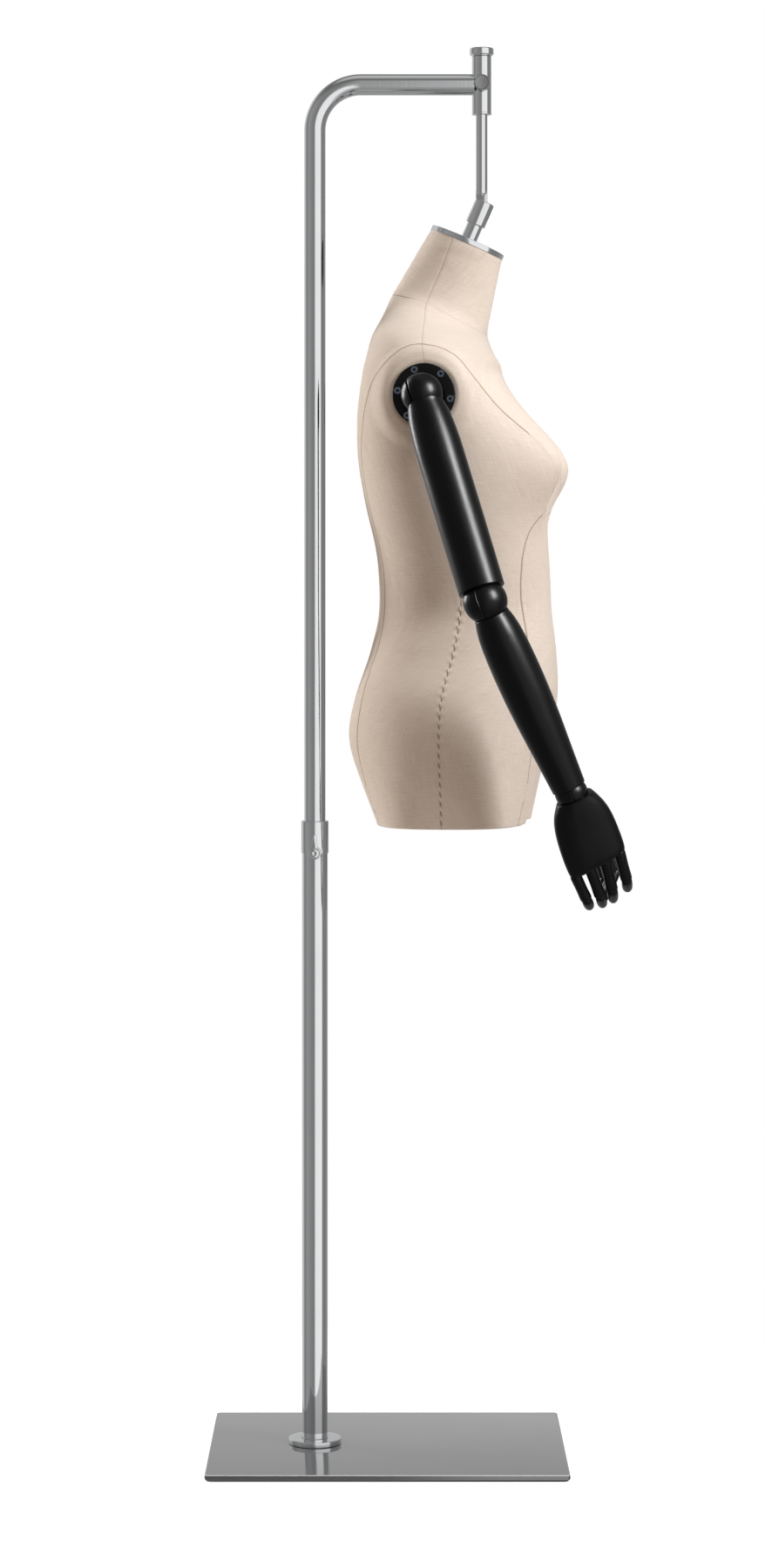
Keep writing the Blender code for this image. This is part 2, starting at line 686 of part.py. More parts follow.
def make_shoulder(looks, side, torso, swing_frame, swing_ball_frame):
    name = SIDES[side]
    outwards = shift(SHOULDER_X, side * SHOULDER_SIDE, SHOULDER_HEIGHT) @ turn("X", -90 * side)
    face = ARMHOLE_SIDE + GAP - SHOULDER_SIDE
    top = face + RING_THICK
    floor = face - SOCKET_DEPTH + 0.006
    inner_floor = -SHOULDER_BALL - 0.0006
    ring = [
        (RING_RADIUS - 0.0004, face),
        (RING_RADIUS, face + 0.0012),
        (RING_RADIUS - 0.0012, top),
        (RING_HOLE + 0.0012, top),
        (RING_HOLE, top - 0.0012),
        (RING_HOLE, inner_floor + 0.006),
        (0.0150, inner_floor),
        (AXLE_RADIUS + RUNNING, inner_floor),
        (AXLE_RADIUS + RUNNING, floor),
        (SOCKET_RADIUS, floor),
        (SOCKET_RADIUS, face),
    ]
    place(f"{name}_shoulder_ring", turned(ring, TUBE_SEGMENTS, True), looks["lacquer"], torso, outwards)

    ball = place(f"{name}_shoulder_ball", ball_mesh(SHOULDER_BALL), looks["lacquer"], swing_frame,
                 turn("X", -90 * side))
    axle_end = floor - 0.012
    join(ball, turned(rod_profile(AXLE_RADIUS, axle_end, -0.015), BALL_SEGMENTS), swing_frame,
         turn("X", -90 * side))
    cut_slot(ball, swing_ball_frame, SHOULDER_SLOT_X, side, (-0.013, 0.04), (-0.04, 0.04))
    nut_bore = (AXLE_RADIUS + GAP) / math.cos(math.pi / 6)
    nut = tube_profile(NUT_RADIUS, nut_bore, floor - 0.0065, floor - 0.0006)
    place(f"{name}_shoulder_nut", turned(nut, 6, True), looks["steel"], swing_frame, turn("X", -90 * side))


def cut_slot(ball, parent, centre_x, side, outwards, heights):
    """A slot across the hinge, open where the tongue swings, with the hinge pin left standing in it."""
    half = SLOT_WIDTH / 2
    ends = sorted(side * value for value in outwards)
    slot = block((centre_x - half, ends[0], heights[0]), (centre_x + half, ends[1], heights[1]))
    cut(ball, slot, parent)
    pin = turned(rod_profile(HINGE_PIN, centre_x - half - 0.002, centre_x + half + 0.002), 12)
    join(ball, pin, parent, turn("Y", 90))


def add_tongue(limb, parent, ball, centre_x, cup_depth):
    """The limb's flat link, which turns on the pin in the ball's slot."""
    half = PLATE_LINK / 2
    reach = math.sqrt(ball ** 2 - centre_x ** 2)
    stem = block((centre_x - half, -TONGUE_WIDTH / 2, -reach - cup_depth),
                 (centre_x + half, TONGUE_WIDTH / 2, 0))
    join(limb, stem, parent)
    eye = turned(rod_profile(0.0094, centre_x - half - 0.0001, centre_x + half + 0.0001), 20)
    join(limb, eye, parent, turn("Y", 90))
    hole = turned(rod_profile(HINGE_PIN + RUNNING, centre_x - 0.004, centre_x + 0.004), 12)
    cut(limb, hole, parent, turn("Y", 90))


def slanted_cup(ball, rim, slant, outer_radius, side):
    """Rings of a cup that hugs a ball: the rim, the wall on the ball and the floor. The outer side stands higher."""
    socket = ball_socket_radius(ball)
    step = 2 * math.pi / BALL_SEGMENTS
    outer_rim = []
    inner_rim = []
    for i in range(BALL_SEGMENTS):
        x, y = math.cos(i * step), math.sin(i * step)
        depth = rim - slant * side * y
        across = math.sqrt(socket ** 2 - depth ** 2)
        wide = max(outer_radius, across + 0.0008)
        outer_rim.append(Vector((wide * x, wide * y, -depth)))
        inner_rim.append(Vector((across * x, across * y, -depth)))
    floor = []
    for share in (0.8, 0.55, 0.28):
        floor.append([
            Vector((point.x * share, point.y * share, -math.sqrt(socket ** 2 - (share * point.xy.length) ** 2)))
            for point in inner_rim
        ])
    bottom = [Vector((0, 0, -socket))]
    return [bottom, *reversed(floor), inner_rim, outer_rim]


def make_upper_arm(looks, side, parent):
    rings = slanted_cup(SHOULDER_BALL, 0.0150, 0.0045, 0.0206, side)
    rings += [circle(radius, -depth, BALL_SEGMENTS) for depth, radius in UPPER_ARM_OUTLINE]
    socket = ball_socket_radius(ELBOW_BALL)
    rise = UPPER_ARM_LENGTH - UPPER_ARM_END
    rings.append(circle(0.0245, -UPPER_ARM_END, BALL_SEGMENTS))
    lip = math.degrees(math.acos(rise / socket))
    cup = arc(socket, -UPPER_ARM_LENGTH, 180 - lip, 165, 4)
    rings += [circle(radius, z, BALL_SEGMENTS) for radius, z in cup]
    bore_top = -UPPER_ARM_LENGTH + ELBOW_BALL + 0.026
    rings.append(circle(AXLE_RADIUS + 0.0006, -UPPER_ARM_LENGTH + socket * 0.97, BALL_SEGMENTS))
    rings.append(circle(AXLE_RADIUS + 0.0006, bore_top, BALL_SEGMENTS))
    arm = place(f"{SIDES[side]}_upper_arm", rings_mesh(rings), looks["lacquer"], parent)
    add_tongue(arm, parent, SHOULDER_BALL, SHOULDER_SLOT_X, 0.006)


def make_forearm(looks, side, parent):
    rings = slanted_cup(ELBOW_BALL, 0.0160, 0.0, 0.0186, side)
    rings += [circle(radius, -depth, BALL_SEGMENTS) for depth, radius in FOREARM_OUTLINE]
    socket = ball_socket_radius(WRIST_BALL)
    rise = FOREARM_LENGTH - FOREARM_END
    rings.append(circle(0.0181, -FOREARM_END, BALL_SEGMENTS))
    lip = math.degrees(math.acos(rise / socket))
    cup = arc(socket, -FOREARM_LENGTH, 180 - lip, 160, 4)
    rings += [circle(radius, z, BALL_SEGMENTS) for radius, z in cup]
    bore_top = -FOREARM_LENGTH + WRIST_BALL + 0.020
    rings.append(circle(0.0046, -FOREARM_LENGTH + socket * 0.965, BALL_SEGMENTS))
    rings.append(circle(0.0046, bore_top, BALL_SEGMENTS))
    arm = place(f"{SIDES[side]}_forearm", rings_mesh(rings), looks["lacquer"], parent)
    add_tongue(arm, parent, ELBOW_BALL, 0.0, 0.006)


def make_twist_ball(looks, name, radius, axle, axle_length, parent, side):
    """A ball whose axle turns in the limb above it, slotted below for the limb it carries."""
    ball = place(name, ball_mesh(radius), looks["lacquer"], parent)
    join(ball, turned(rod_profile(axle, radius - 0.004, radius + axle_length), BALL_SEGMENTS), parent)
    top = 0.0100 if radius < 0.02 else 0.0124
    cut_slot(ball, parent, 0.0, side, (-0.04, 0.04), (-0.04, top))
    return ball


# ---------------------------------------------------------------- hands


def palm_ring(distance, centre, half_width, half_thick, slant, side):
    """A flattened round section, slanted towards the knuckles as the row of fingers is."""
    ring = []
    step = 2 * math.pi / BALL_SEGMENTS
    for i in range(BALL_SEGMENTS):
        cosine, sine = math.cos(i * step), math.sin(i * step)
        x = centre + math.copysign(half_width * abs(cosine) ** 0.85, cosine)
        y = math.copysign(half_thick * abs(sine) ** 0.85, sine) * side
        ring.append(Vector((x, y, -distance + slant * KNUCKLE_SLANT * x)))
    return ring


def make_palm(looks, side, parent):
    rows = len(PALM_ROWS)
    rings = []
    for index, row in enumerate(PALM_ROWS):
        rings.append(palm_ring(*row, smooth_step((index - 2) / (rows - 3)), side))
    palm = place(f"{SIDES[side]}_palm", rings_mesh(rings), looks["lacquer"], parent)
    socket = ball_socket_radius(WRIST_BALL)
    cut(palm, turned(arc(socket, 0, 0, 180, 8), BALL_SEGMENTS), parent)
    add_wrist_tongue(palm, parent)
    slope = math.degrees(math.atan(KNUCKLE_SLANT))
    groove_radius = (FINGER_RADIUS + RUNNING) / math.cos(math.pi / BALL_SEGMENTS)
    groove = turned(rod_profile(groove_radius, -0.06, 0.06), BALL_SEGMENTS)
    cut(palm, groove, parent, shift(0, 0, -KNUCKLE_DISTANCE) @ turn("Y", -slope) @ turn("Y", 90))
    dish = turned(arc(THUMB_RADIUS + 0.0006, 0, 0, 180, 6), 12)
    cut(palm, dish, parent, thumb_place(side))


def add_wrist_tongue(palm, parent):
    half = PLATE_LINK / 2
    width = 0.0052
    join(palm, block((-half, -width, -WRIST_BALL - 0.005), (half, width, 0)), parent)
    eye = turned(rod_profile(0.0066, -half - 0.0001, half + 0.0001), 16)
    join(palm, eye, parent, turn("Y", 90))
    cut(palm, turned(rod_profile(HINGE_PIN + RUNNING, -0.004, 0.004), 12), parent, turn("Y", 90))


def knuckle_place(side, finger):
    x, lean, _, _ = FINGERS[finger]
    base = shift(x, 0, -KNUCKLE_DISTANCE + KNUCKLE_SLANT * x)
    return base @ turn("Y", lean) @ turn("X", -side * KNUCKLE_BEND)


def thumb_place(side):
    inner = -side * 0.0222
    base = shift(THUMB_X, inner, -THUMB_DISTANCE)
    return base @ turn("Y", THUMB_LEAN) @ turn("X", -side * THUMB_OUT)


def near_segment(length, radius, tip_ball):
    """A finger bone with a round head, and a shallow cup at its far end for the tip's round head."""
    cup = (tip_ball + RUNNING) / math.cos(math.pi / FINGER_SEGMENTS)
    lip = 0.0022
    across = math.sqrt(cup ** 2 - lip ** 2)
    profile = arc(radius, 0, 180, 90, 3)
    profile += [
        (radius * 0.97, -length * 0.35),
        (radius, -length * 0.65),
        (max(radius, across + 0.0006), -length + lip + 0.0010),
        (across, -length + lip),
    ]
    profile += [(cup * 0.7, -length + cup * 0.714), (0, -length + cup)]
    return turned(profile, FINGER_SEGMENTS)


def tip_segment(length, head):
    profile = arc(head, 0, 180, 90, 3)
    profile += [(head * 1.04, -length * 0.35), (head * 0.97, -length * 0.68)]
    profile += [(head * 0.70, -length * 0.90), (0, -length)]
    return turned(profile, FINGER_SEGMENTS)


def make_fingers(looks, side, hand):
    name = SIDES[side]
    for finger, (_, _, near, far) in FINGERS.items():
        knuckle = frame(f"{name}_{finger}_knuckle", knuckle_place(side, finger), hand)
        place(f"{name}_{finger}_finger", near_segment(near, FINGER_RADIUS, TIP_BALL), looks["lacquer"], knuckle)
        bend = shift(0, 0, -near) @ turn("X", -side * MIDDLE_BEND)
        middle = frame(f"{name}_{finger}_middle", bend, knuckle)
        place(f"{name}_{finger}_tip", tip_segment(far, TIP_BALL), looks["lacquer"], middle)
    near, far = THUMB_LENGTHS
    base = frame(f"{name}_thumb_base", thumb_place(side), hand)
    place(f"{name}_thumb", near_segment(near, THUMB_RADIUS, 0.0057), looks["lacquer"], base)
    bend = shift(0, 0, -near) @ turn("X", -side * THUMB_BEND)
    middle = frame(f"{name}_thumb_middle", bend, base)
    place(f"{name}_thumb_tip", tip_segment(far, 0.0057), looks["lacquer"], middle)


def make_arm(looks, side, torso):
    name = SIDES[side]
    at_shoulder = shift(SHOULDER_X, side * SHOULDER_SIDE, SHOULDER_HEIGHT)
    swing = frame(f"{name}_shoulder_swing", at_shoulder, torso)
    swung = frame(f"{name}_shoulder_swung", turn("Y", -SHOULDER_SWING[side]), swing)
    upper = frame(f"{name}_shoulder_lift", turn("X", side * SHOULDER_LIFT[side]), swung)
    make_shoulder(looks, side, torso, swing, swung)
    make_upper_arm(looks, side, upper)

    at_elbow = shift(0, 0, -UPPER_ARM_LENGTH) @ turn("Z", side * ELBOW_TWIST[side])
    twist = frame(f"{name}_elbow_twist", at_elbow, upper)
    make_twist_ball(looks, f"{name}_elbow_ball", ELBOW_BALL, AXLE_RADIUS, 0.022, twist, side)
    elbow = frame(f"{name}_elbow_bend", turn("X", -side * ELBOW_BEND[side]), twist)
    make_forearm(looks, side, elbow)

    at_wrist = shift(0, 0, -FOREARM_LENGTH) @ turn("Z", side * WRIST_TWIST[side])
    turning = frame(f"{name}_wrist_twist", at_wrist, elbow)
    make_twist_ball(looks, f"{name}_wrist_ball", WRIST_BALL, 0.004, 0.016, turning, side)
    hand = frame(f"{name}_wrist_bend", turn("X", -side * WRIST_BEND[side]), turning)
    make_palm(looks, side, hand)
    make_fingers(looks, side, hand)


# ---------------------------------------------------------------- assembly


def clear_scene():
    for item in list(bpy.data.objects):
        bpy.data.objects.remove(item, do_unlink=True)


def main():
    clear_scene()
    looks = make_materials()
    post = frame("post_axis", shift(POST_X, 0, 0))
    make_base(looks, post)
    make_lower_post(looks, post)
    lever_axis = frame("lever_axis", shift(0, 0, SCREW_HEIGHT), post)
    make_lock(looks, post, lever_axis)

    mast = frame("mast_slide", shift(POST_X, 0, 0))
    hanger = frame("hanger_axis", shift(HANGER_X - POST_X, 0, 0), mast)
    make_upper_tube(looks, mast, hanger)
    knob_axis = frame("knob_axis", shift(0, 0, ARM_HEIGHT), hanger)
    cap_axis = frame("cap_axis", Matrix.Identity(4), hanger)
    make_hanger(looks, hanger, knob_axis, cap_axis)

    rod_frame = frame("rod_swivel", turn("Z", TORSO_YAW), cap_axis)
    pivot = frame("neck_pivot", shift(0, 0, PIVOT_HEIGHT), rod_frame)
    make_rod(looks, rod_frame, pivot)
    make_neck(looks, frame("neck_axis", turn("Y", NECK_TILT), pivot))
    torso = frame("torso_frame", shift(0, 0, -PIVOT_HEIGHT), pivot)
    make_torso(looks, torso)
    for side in SIDES:
        make_arm(looks, side, torso)


main()
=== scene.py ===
"""Looks for the dress form mannequin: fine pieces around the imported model, materials, light and camera.

Metres, +Z up, +X towards the mannequin's front, +Y to its left. Limb frames hang down their own -Z axis.
"""

import math

import bmesh
import bpy
import numpy as np
from mathutils import Matrix, Vector, noise


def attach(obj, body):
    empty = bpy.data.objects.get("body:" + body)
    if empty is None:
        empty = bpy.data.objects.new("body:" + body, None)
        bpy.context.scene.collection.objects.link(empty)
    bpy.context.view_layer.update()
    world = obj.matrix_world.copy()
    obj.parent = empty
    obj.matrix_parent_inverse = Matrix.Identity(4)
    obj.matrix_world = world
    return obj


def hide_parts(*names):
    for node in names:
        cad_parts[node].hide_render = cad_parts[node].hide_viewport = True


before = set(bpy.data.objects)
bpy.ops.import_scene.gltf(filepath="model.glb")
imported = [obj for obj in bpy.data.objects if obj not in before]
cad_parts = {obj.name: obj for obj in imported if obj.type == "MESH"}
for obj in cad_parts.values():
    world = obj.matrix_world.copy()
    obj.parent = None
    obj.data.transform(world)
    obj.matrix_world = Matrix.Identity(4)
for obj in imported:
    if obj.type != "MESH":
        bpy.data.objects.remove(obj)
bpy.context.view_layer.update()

# Sizes of the CAD model that the pieces follow
PLATE_LENGTH = 0.400
PLATE_WIDTH = 0.300
PLATE_BOTTOM = 0.0015
PLATE_TOP = 0.0075
POST_X = -0.082
LOWER_RADIUS = 0.0145
LOWER_BORE = 0.0132
FLANGE_RADIUS = 0.030
FLANGE_THICK = 0.006
LOWER_TOP = 0.706
COLLAR_RADIUS = 0.0155
COLLAR_BOTTOM = 0.676
COLLAR_TOP = 0.7125
SCREW_HEIGHT = 0.677
UPPER_RADIUS = 0.012
UPPER_BORE = 0.0105
UPPER_BOTTOM = 0.400
ARM_HEIGHT = 1.5467
BEND_RADIUS = 0.052
HANGER_X = 0.107
SLEEVE_RADIUS = 0.0109
SLEEVE_BORE = 0.0070
SLEEVE_BOTTOM = 1.5125
SLEEVE_TOP = 1.5785
ROD_RADIUS = 0.0065
ROD_SHOULDER = 1.4236
CAP_RADIUS = 0.0135
CAP_TOP = 1.588
KNOB_RADIUS = 0.009
KNOB_FACE = 0.0215
PIVOT_HEIGHT = 1.405
TONGUE_THICK = 0.006
NECK_TILT = 23.5
FORK_RADIUS = 0.01125
STEM_RADIUS = 0.009
NECK_CAP_RADIUS = 0.044
NECK_CAP_TOP = -0.0378
NECK_CAP_THICK = 0.006
TORSO_YAW = -6.0
TORSO_BOTTOM = 0.7135
CLOTH = 0.0008
SHELL_OUTSIDE = 0.0016  # how far in from the form's surface
SHELL_INSIDE = 0.0055
BOARD_INSET = 0.0067
BOARD_THICK = 0.006
GAP = 0.0003  # between parts that touch
PLAY = 0.0004  # between parts that turn or slide on each other

SECTIONS = [  # height, tilt, widest points' x, reach behind and ahead, half width, squareness
    (1.3646, 23.5, -0.0176, 0.0437, 0.0437, 0.0437, 2.0),
    (1.3110, 22.8, -0.0384, 0.0535, 0.0530, 0.0480, 2.0),
    (1.2865, 21.0, -0.0478, 0.0580, 0.0580, 0.0610, 2.0),
    (1.2680, 14.0, -0.0530, 0.0610, 0.0640, 0.0980, 2.1),
    (1.2515, 8.0, -0.0550, 0.0680, 0.0690, 0.1300, 2.25),
    (1.2350, 4.0, -0.0540, 0.0735, 0.0740, 0.1470, 2.4),
    (1.2120, 1.0, -0.0530, 0.0800, 0.0780, 0.1545, 2.5),
    (1.1650, 0.0, -0.0500, 0.0885, 0.0990, 0.1545, 2.5),
    (1.1175, 0.0, -0.0450, 0.0925, 0.1120, 0.1470, 2.4),
    (1.0700, 0.0, -0.0360, 0.0940, 0.1060, 0.1380, 2.3),
    (1.0110, 0.0, -0.0220, 0.0960, 0.0980, 0.1210, 2.2),
    (0.9515, 0.0, -0.0160, 0.1000, 0.0950, 0.1080, 2.15),
    (0.9050, 0.0, -0.0220, 0.1030, 0.1060, 0.1230, 2.2),
    (0.8570, 0.0, -0.0300, 0.1080, 0.1155, 0.1490, 2.25),
    (0.8090, 0.0, -0.0340, 0.1090, 0.1120, 0.1630, 2.25),
    (0.7620, 0.0, -0.0340, 0.0980, 0.0995, 0.1650, 2.45),
    (TORSO_BOTTOM, 0.0, -0.0340, 0.0800, 0.0880, 0.1600, 2.9),
]
BUST = {"side": 0.080, "height": 1.115, "depth": 0.038, "width": 0.054, "above": 0.054, "below": 0.050}
SEAT = {"side": 0.070, "height": 0.815, "depth": 0.007, "width": 0.050, "above": 0.060, "below": 0.060}
NOTCH_TOP = 0.790
NOTCH_WIDTH = 0.022
NOTCH_FRONT = 0.022
NOTCH_BACK = 0.018
SHOULDER_X = -0.051
SHOULDER_HEIGHT = 1.187
SHOULDER_SIDE = 0.178
ARMHOLE_SIDE = 0.1545
ARMHOLE_FLAT = 0.040
ARMHOLE_BLEND = 0.064
RING_RADIUS = 0.0345
RING_HOLE = 0.022
RING_THICK = 0.0045
SCREW_CIRCLE = 0.02925
SCREW_FACE = 0.0006
SOCKET_RADIUS = 0.0018
ARMHOLE_RADIUS = 0.0275  # of the opening in the cover and the shell, under the ring
FLANK = 0.1  # the armhole only shapes what lies farther than this from the middle

# Seams of the cover, as (x, height) on the torso's side, in the torso's frame
NECK_SIDE_SEAM = [
    (-0.0290, 1.372), (-0.0378, 1.3469), (-0.0459, 1.3261), (-0.0539, 1.3078), (-0.0583, 1.2965),
]
NECK_BASE_SEAM = [
    (-0.1010, 1.3085), (-0.0930, 1.3061), (-0.0817, 1.3025), (-0.0691, 1.2995), (-0.0583, 1.2955),
    (-0.0423, 1.2873), (-0.0249, 1.2777), (-0.0080, 1.2690), (0.0120, 1.2600), (0.0300, 1.2530),
]
SHOULDER_SEAM = [
    (-0.0583, 1.2965), (-0.0586, 1.2866), (-0.0573, 1.2763), (-0.0564, 1.2614), (-0.0549, 1.2462),
    (-0.0530, 1.2341), (-0.0507, 1.2200),
]
PRINCESS_SEAM = [
    (-0.1030, 0.690), (-0.1056, 0.7158), (-0.1190, 0.7488), (-0.1280, 0.7836), (-0.1310, 0.8110),
    (-0.1270, 0.8500), (-0.1195, 0.8831), (-0.1105, 0.9129), (-0.1053, 0.9493), (-0.1050, 0.9882),
    (-0.1084, 1.0135), (-0.1138, 1.0387), (-0.1193, 1.0632), (-0.1245, 1.0887), (-0.1275, 1.1116),
    (-0.1276, 1.1353), (-0.1243, 1.1590), (-0.1191, 1.1818), (-0.1127, 1.2006), (-0.1036, 1.2144),
    (-0.0931, 1.2250), (-0.0833, 1.2336), (-0.0721, 1.2403), (-0.0577, 1.2433), (-0.0370, 1.2400),
    (-0.0167, 1.2296), (-0.0010, 1.2111), (0.0198, 1.1835), (0.0378, 1.1650), (0.0545, 1.1510),
    (0.0719, 1.1345), (0.0845, 1.1180), (0.0877, 1.1020), (0.0851, 1.0867), (0.0795, 1.0722),
    (0.0735, 1.0600), (0.0666, 1.0500), (0.0592, 1.0380), (0.0534, 1.0185), (0.0503, 0.9933),
    (0.0500, 0.9631), (0.0553, 0.9294), (0.0621, 0.8931), (0.0655, 0.8550), (0.0633, 0.8070),
    (0.0567, 0.7579), (0.0475, 0.7135), (0.0440, 0.690),
]
SIDE_SEAM = [
    (-0.0330, 1.1480), (-0.0260, 1.0900), (-0.0185, 1.0200), (-0.0151, 0.9607), (-0.0178, 0.9294),
    (-0.0226, 0.9011), (-0.0284, 0.8771), (-0.0330, 0.8530), (-0.0345, 0.8289), (-0.0343, 0.7953),
    (-0.0328, 0.7579), (-0.0317, 0.7000),
]
WEAVE_PITCH = 0.0011
ENDED_SEAMS = {"side": 0.55, "shoulder": 0.5, "neck_side": 0.5}  # how strongly they show between their ends
STITCHED_BELOW = 0.962
STITCH_PITCH = 0.0105
STITCH_LENGTH = 0.0076
STITCH_SLANT = 0.0008
THREAD_RADIUS = 0.00046
STITCH_GAP = STITCH_PITCH + 0.5 * STITCH_LENGTH  # middle of the bare cloth between two stitches

# Arms
SHOULDER_BALL = 0.023
ELBOW_BALL = 0.024
WRIST_BALL = 0.01785
UPPER_ARM_LENGTH = 0.2421
FOREARM_LENGTH = 0.2288
SHOULDER_SWING = {-1: 17.8, 1: 12.1}  # right, left
SHOULDER_LIFT = {-1: 12.0, 1: 11.5}
ELBOW_TWIST = {-1: 14.5, 1: 33.0}
ELBOW_BEND = {-1: 23.1, 1: 18.6}
WRIST_TWIST = {-1: -20.0, 1: -100.0}
WRIST_BEND = {-1: 5.0, 1: -8.9}
SHOULDER_SLOT_X = -0.012
UPPER_ARM_OUTLINE = [
    (0.0135, 0.0206), (0.020, 0.0219), (0.033, 0.0238), (0.060, 0.0255), (0.100, 0.0256), (0.150, 0.0256),
    (0.190, 0.0255), (0.2282, 0.0253),
]
UPPER_ARM_END = 0.2293
FOREARM_OUTLINE = [
    (0.018, 0.0196), (0.025, 0.0215), (0.040, 0.0238), (0.065, 0.0252), (0.100, 0.0254), (0.140, 0.0240),
    (0.180, 0.0213), (0.2216, 0.0186),
]
FOREARM_END = 0.2226
PALM_ROWS = [  # distance from the wrist, centre, half width, half thickness
    (0.0062, 0.0010, 0.0210, 0.0178),
    (0.0180, -0.0005, 0.0275, 0.0172),
    (0.0300, -0.0012, 0.0314, 0.0162),
    (0.0450, -0.0022, 0.0336, 0.0150),
    (0.0650, -0.0036, 0.0344, 0.0138),
    (0.0790, -0.0044, 0.0340, 0.0124),
    (0.0850, -0.0046, 0.0328, 0.0104),
]
KNUCKLE_SLANT = 0.094
KNUCKLE_DISTANCE = 0.0868
FINGERS = {  # knuckle's x, sideways lean in degrees, lengths of the two segments
    "little": (-0.0325, -1.0, 0.0320, 0.0250),
    "ring": (-0.0150, 3.0, 0.0370, 0.0290),
    "middle": (0.0035, 9.0, 0.0390, 0.0310),
    "index": (0.0212, 8.0, 0.0360, 0.0290),
}
FINGER_RADIUS = 0.0064
TIP_BALL = 0.0057
KNUCKLE_BEND = 13.0
MIDDLE_BEND = 40.0
THUMB_PLACE = (0.015, 0.0222, 0.028)
THUMB_LEAN = 14.0
THUMB_OUT = 6.0
THUMB_BEND = 8.0
THUMB_RADIUS = 0.0066
THUMB_TIP_BALL = 0.0057
THUMB_LENGTHS = (0.027, 0.024)

ROUND = 96  # segments of the turned stand pieces
LIMB = 72  # segments of the limbs

SIDES = {-1: "right", 1: "left"}


# ---------------------------------------------------------------- material nodes


class Nodes:
    """A node tree under construction, with short calls for the nodes that the trees share."""

    def __init__(self, tree):
        self.tree = tree

    def feed(self, socket, value):
        if isinstance(value, bpy.types.NodeSocket):
            self.tree.links.new(value, socket)
        elif isinstance(value, tuple) and socket.type == "RGBA":
            socket.default_value = (*value, 1.0)
        else:
            socket.default_value = value

    def add(self, kind, inputs, output=0, **settings):
        made = self.tree.nodes.new(kind)
        for key, value in settings.items():
            setattr(made, key, value)
        for key, value in inputs.items():
            self.feed(made.inputs[key], value)
        return made.outputs[output]

    def sum(self, operation, first, second=None, third=None):
        inputs = {0: first}
        if second is not None:
            inputs[1] = second
        if third is not None:
            inputs[2] = third
        return self.add("ShaderNodeMath", inputs, operation=operation)

    def split(self, vector):
        return self.add("ShaderNodeSeparateXYZ", {0: vector}).node.outputs

    def stretched(self, source, scale):
        return self.add("ShaderNodeMapping", {"Vector": source, "Scale": scale})

    def noise(self, source, scale, detail=3.0, roughness=0.5):
        inputs = {"Vector": source, "Scale": scale, "Detail": detail, "Roughness": roughness}
        return self.add("ShaderNodeTexNoise", inputs, "Fac")

    def fade(self, value, low, high, to_low, to_high, smooth=False):
        inputs = {"Value": value, 1: low, 2: high, 3: to_low, 4: to_high}
        kind = "SMOOTHSTEP" if smooth else "LINEAR"
        return self.add("ShaderNodeMapRange", inputs, interpolation_type=kind)

    def mix(self, share, first, second):
        inputs = {0: share, 6: first, 7: second}
        return self.add("ShaderNodeMix", inputs, 2, data_type="RGBA")

    def blend(self, value, low, high, first, second, share=1.0):
        """From the first colour to the second, as value goes from low to high."""
        return self.mix(self.fade(value, low, high, 0.0, share), first, second)

    def ramp(self, value, stops):
        made = self.add("ShaderNodeValToRGB", {0: value})
        elements = made.node.color_ramp.elements
        for element, (position, grey) in zip(elements, (stops[0], stops[-1])):
            element.position, element.color = position, (grey, grey, grey, 1.0)
        for position, grey in stops[1:-1]:
            elements.new(position).color = (grey, grey, grey, 1.0)
        return made


class Shader(Nodes):
    """A material's node tree, which ends in one principled surface."""

    def __init__(self, name):
        self.material = bpy.data.materials.new(name)
        self.material.use_nodes = True
        super().__init__(self.material.node_tree)
        self.surface = self.tree.nodes["Principled BSDF"]

    def place(self):
        return self.add("ShaderNodeTexCoord", {}, "Object")

    def bump(self, height):
        normal = self.add("ShaderNodeBump", {"Strength": 1.0, "Distance": 1.0, "Height": height})
        self.feed(self.surface.inputs["Normal"], normal)

    def set(self, **values):
        for key, value in values.items():
            self.feed(self.surface.inputs[key.replace("_", " ")], value)


def chrome_material(name, tint, roughness, brushed):
    """Plated steel: faint polishing marks along the part, smudges, and a little waviness."""
    made = Shader(name)
    place = made.place()
    marks = made.noise(made.stretched(place, brushed), 1.0, 4.0, 0.6)
    smudge = made.noise(place, 22.0, 3.0, 0.55)
    rough = made.fade(smudge, 0.35, 0.75, roughness * 0.75, roughness * 1.5)
    rough = made.sum("ADD", rough, made.fade(marks, 0.3, 0.7, -0.02, 0.03))
    shade = made.blend(smudge, 0.3, 0.8, tint, tuple(v * 0.93 for v in tint), 0.5)
    made.set(Base_Color=shade, Metallic=1.0, Roughness=rough)
    made.bump(made.sum("MULTIPLY", marks, 0.000012))
    return made.material


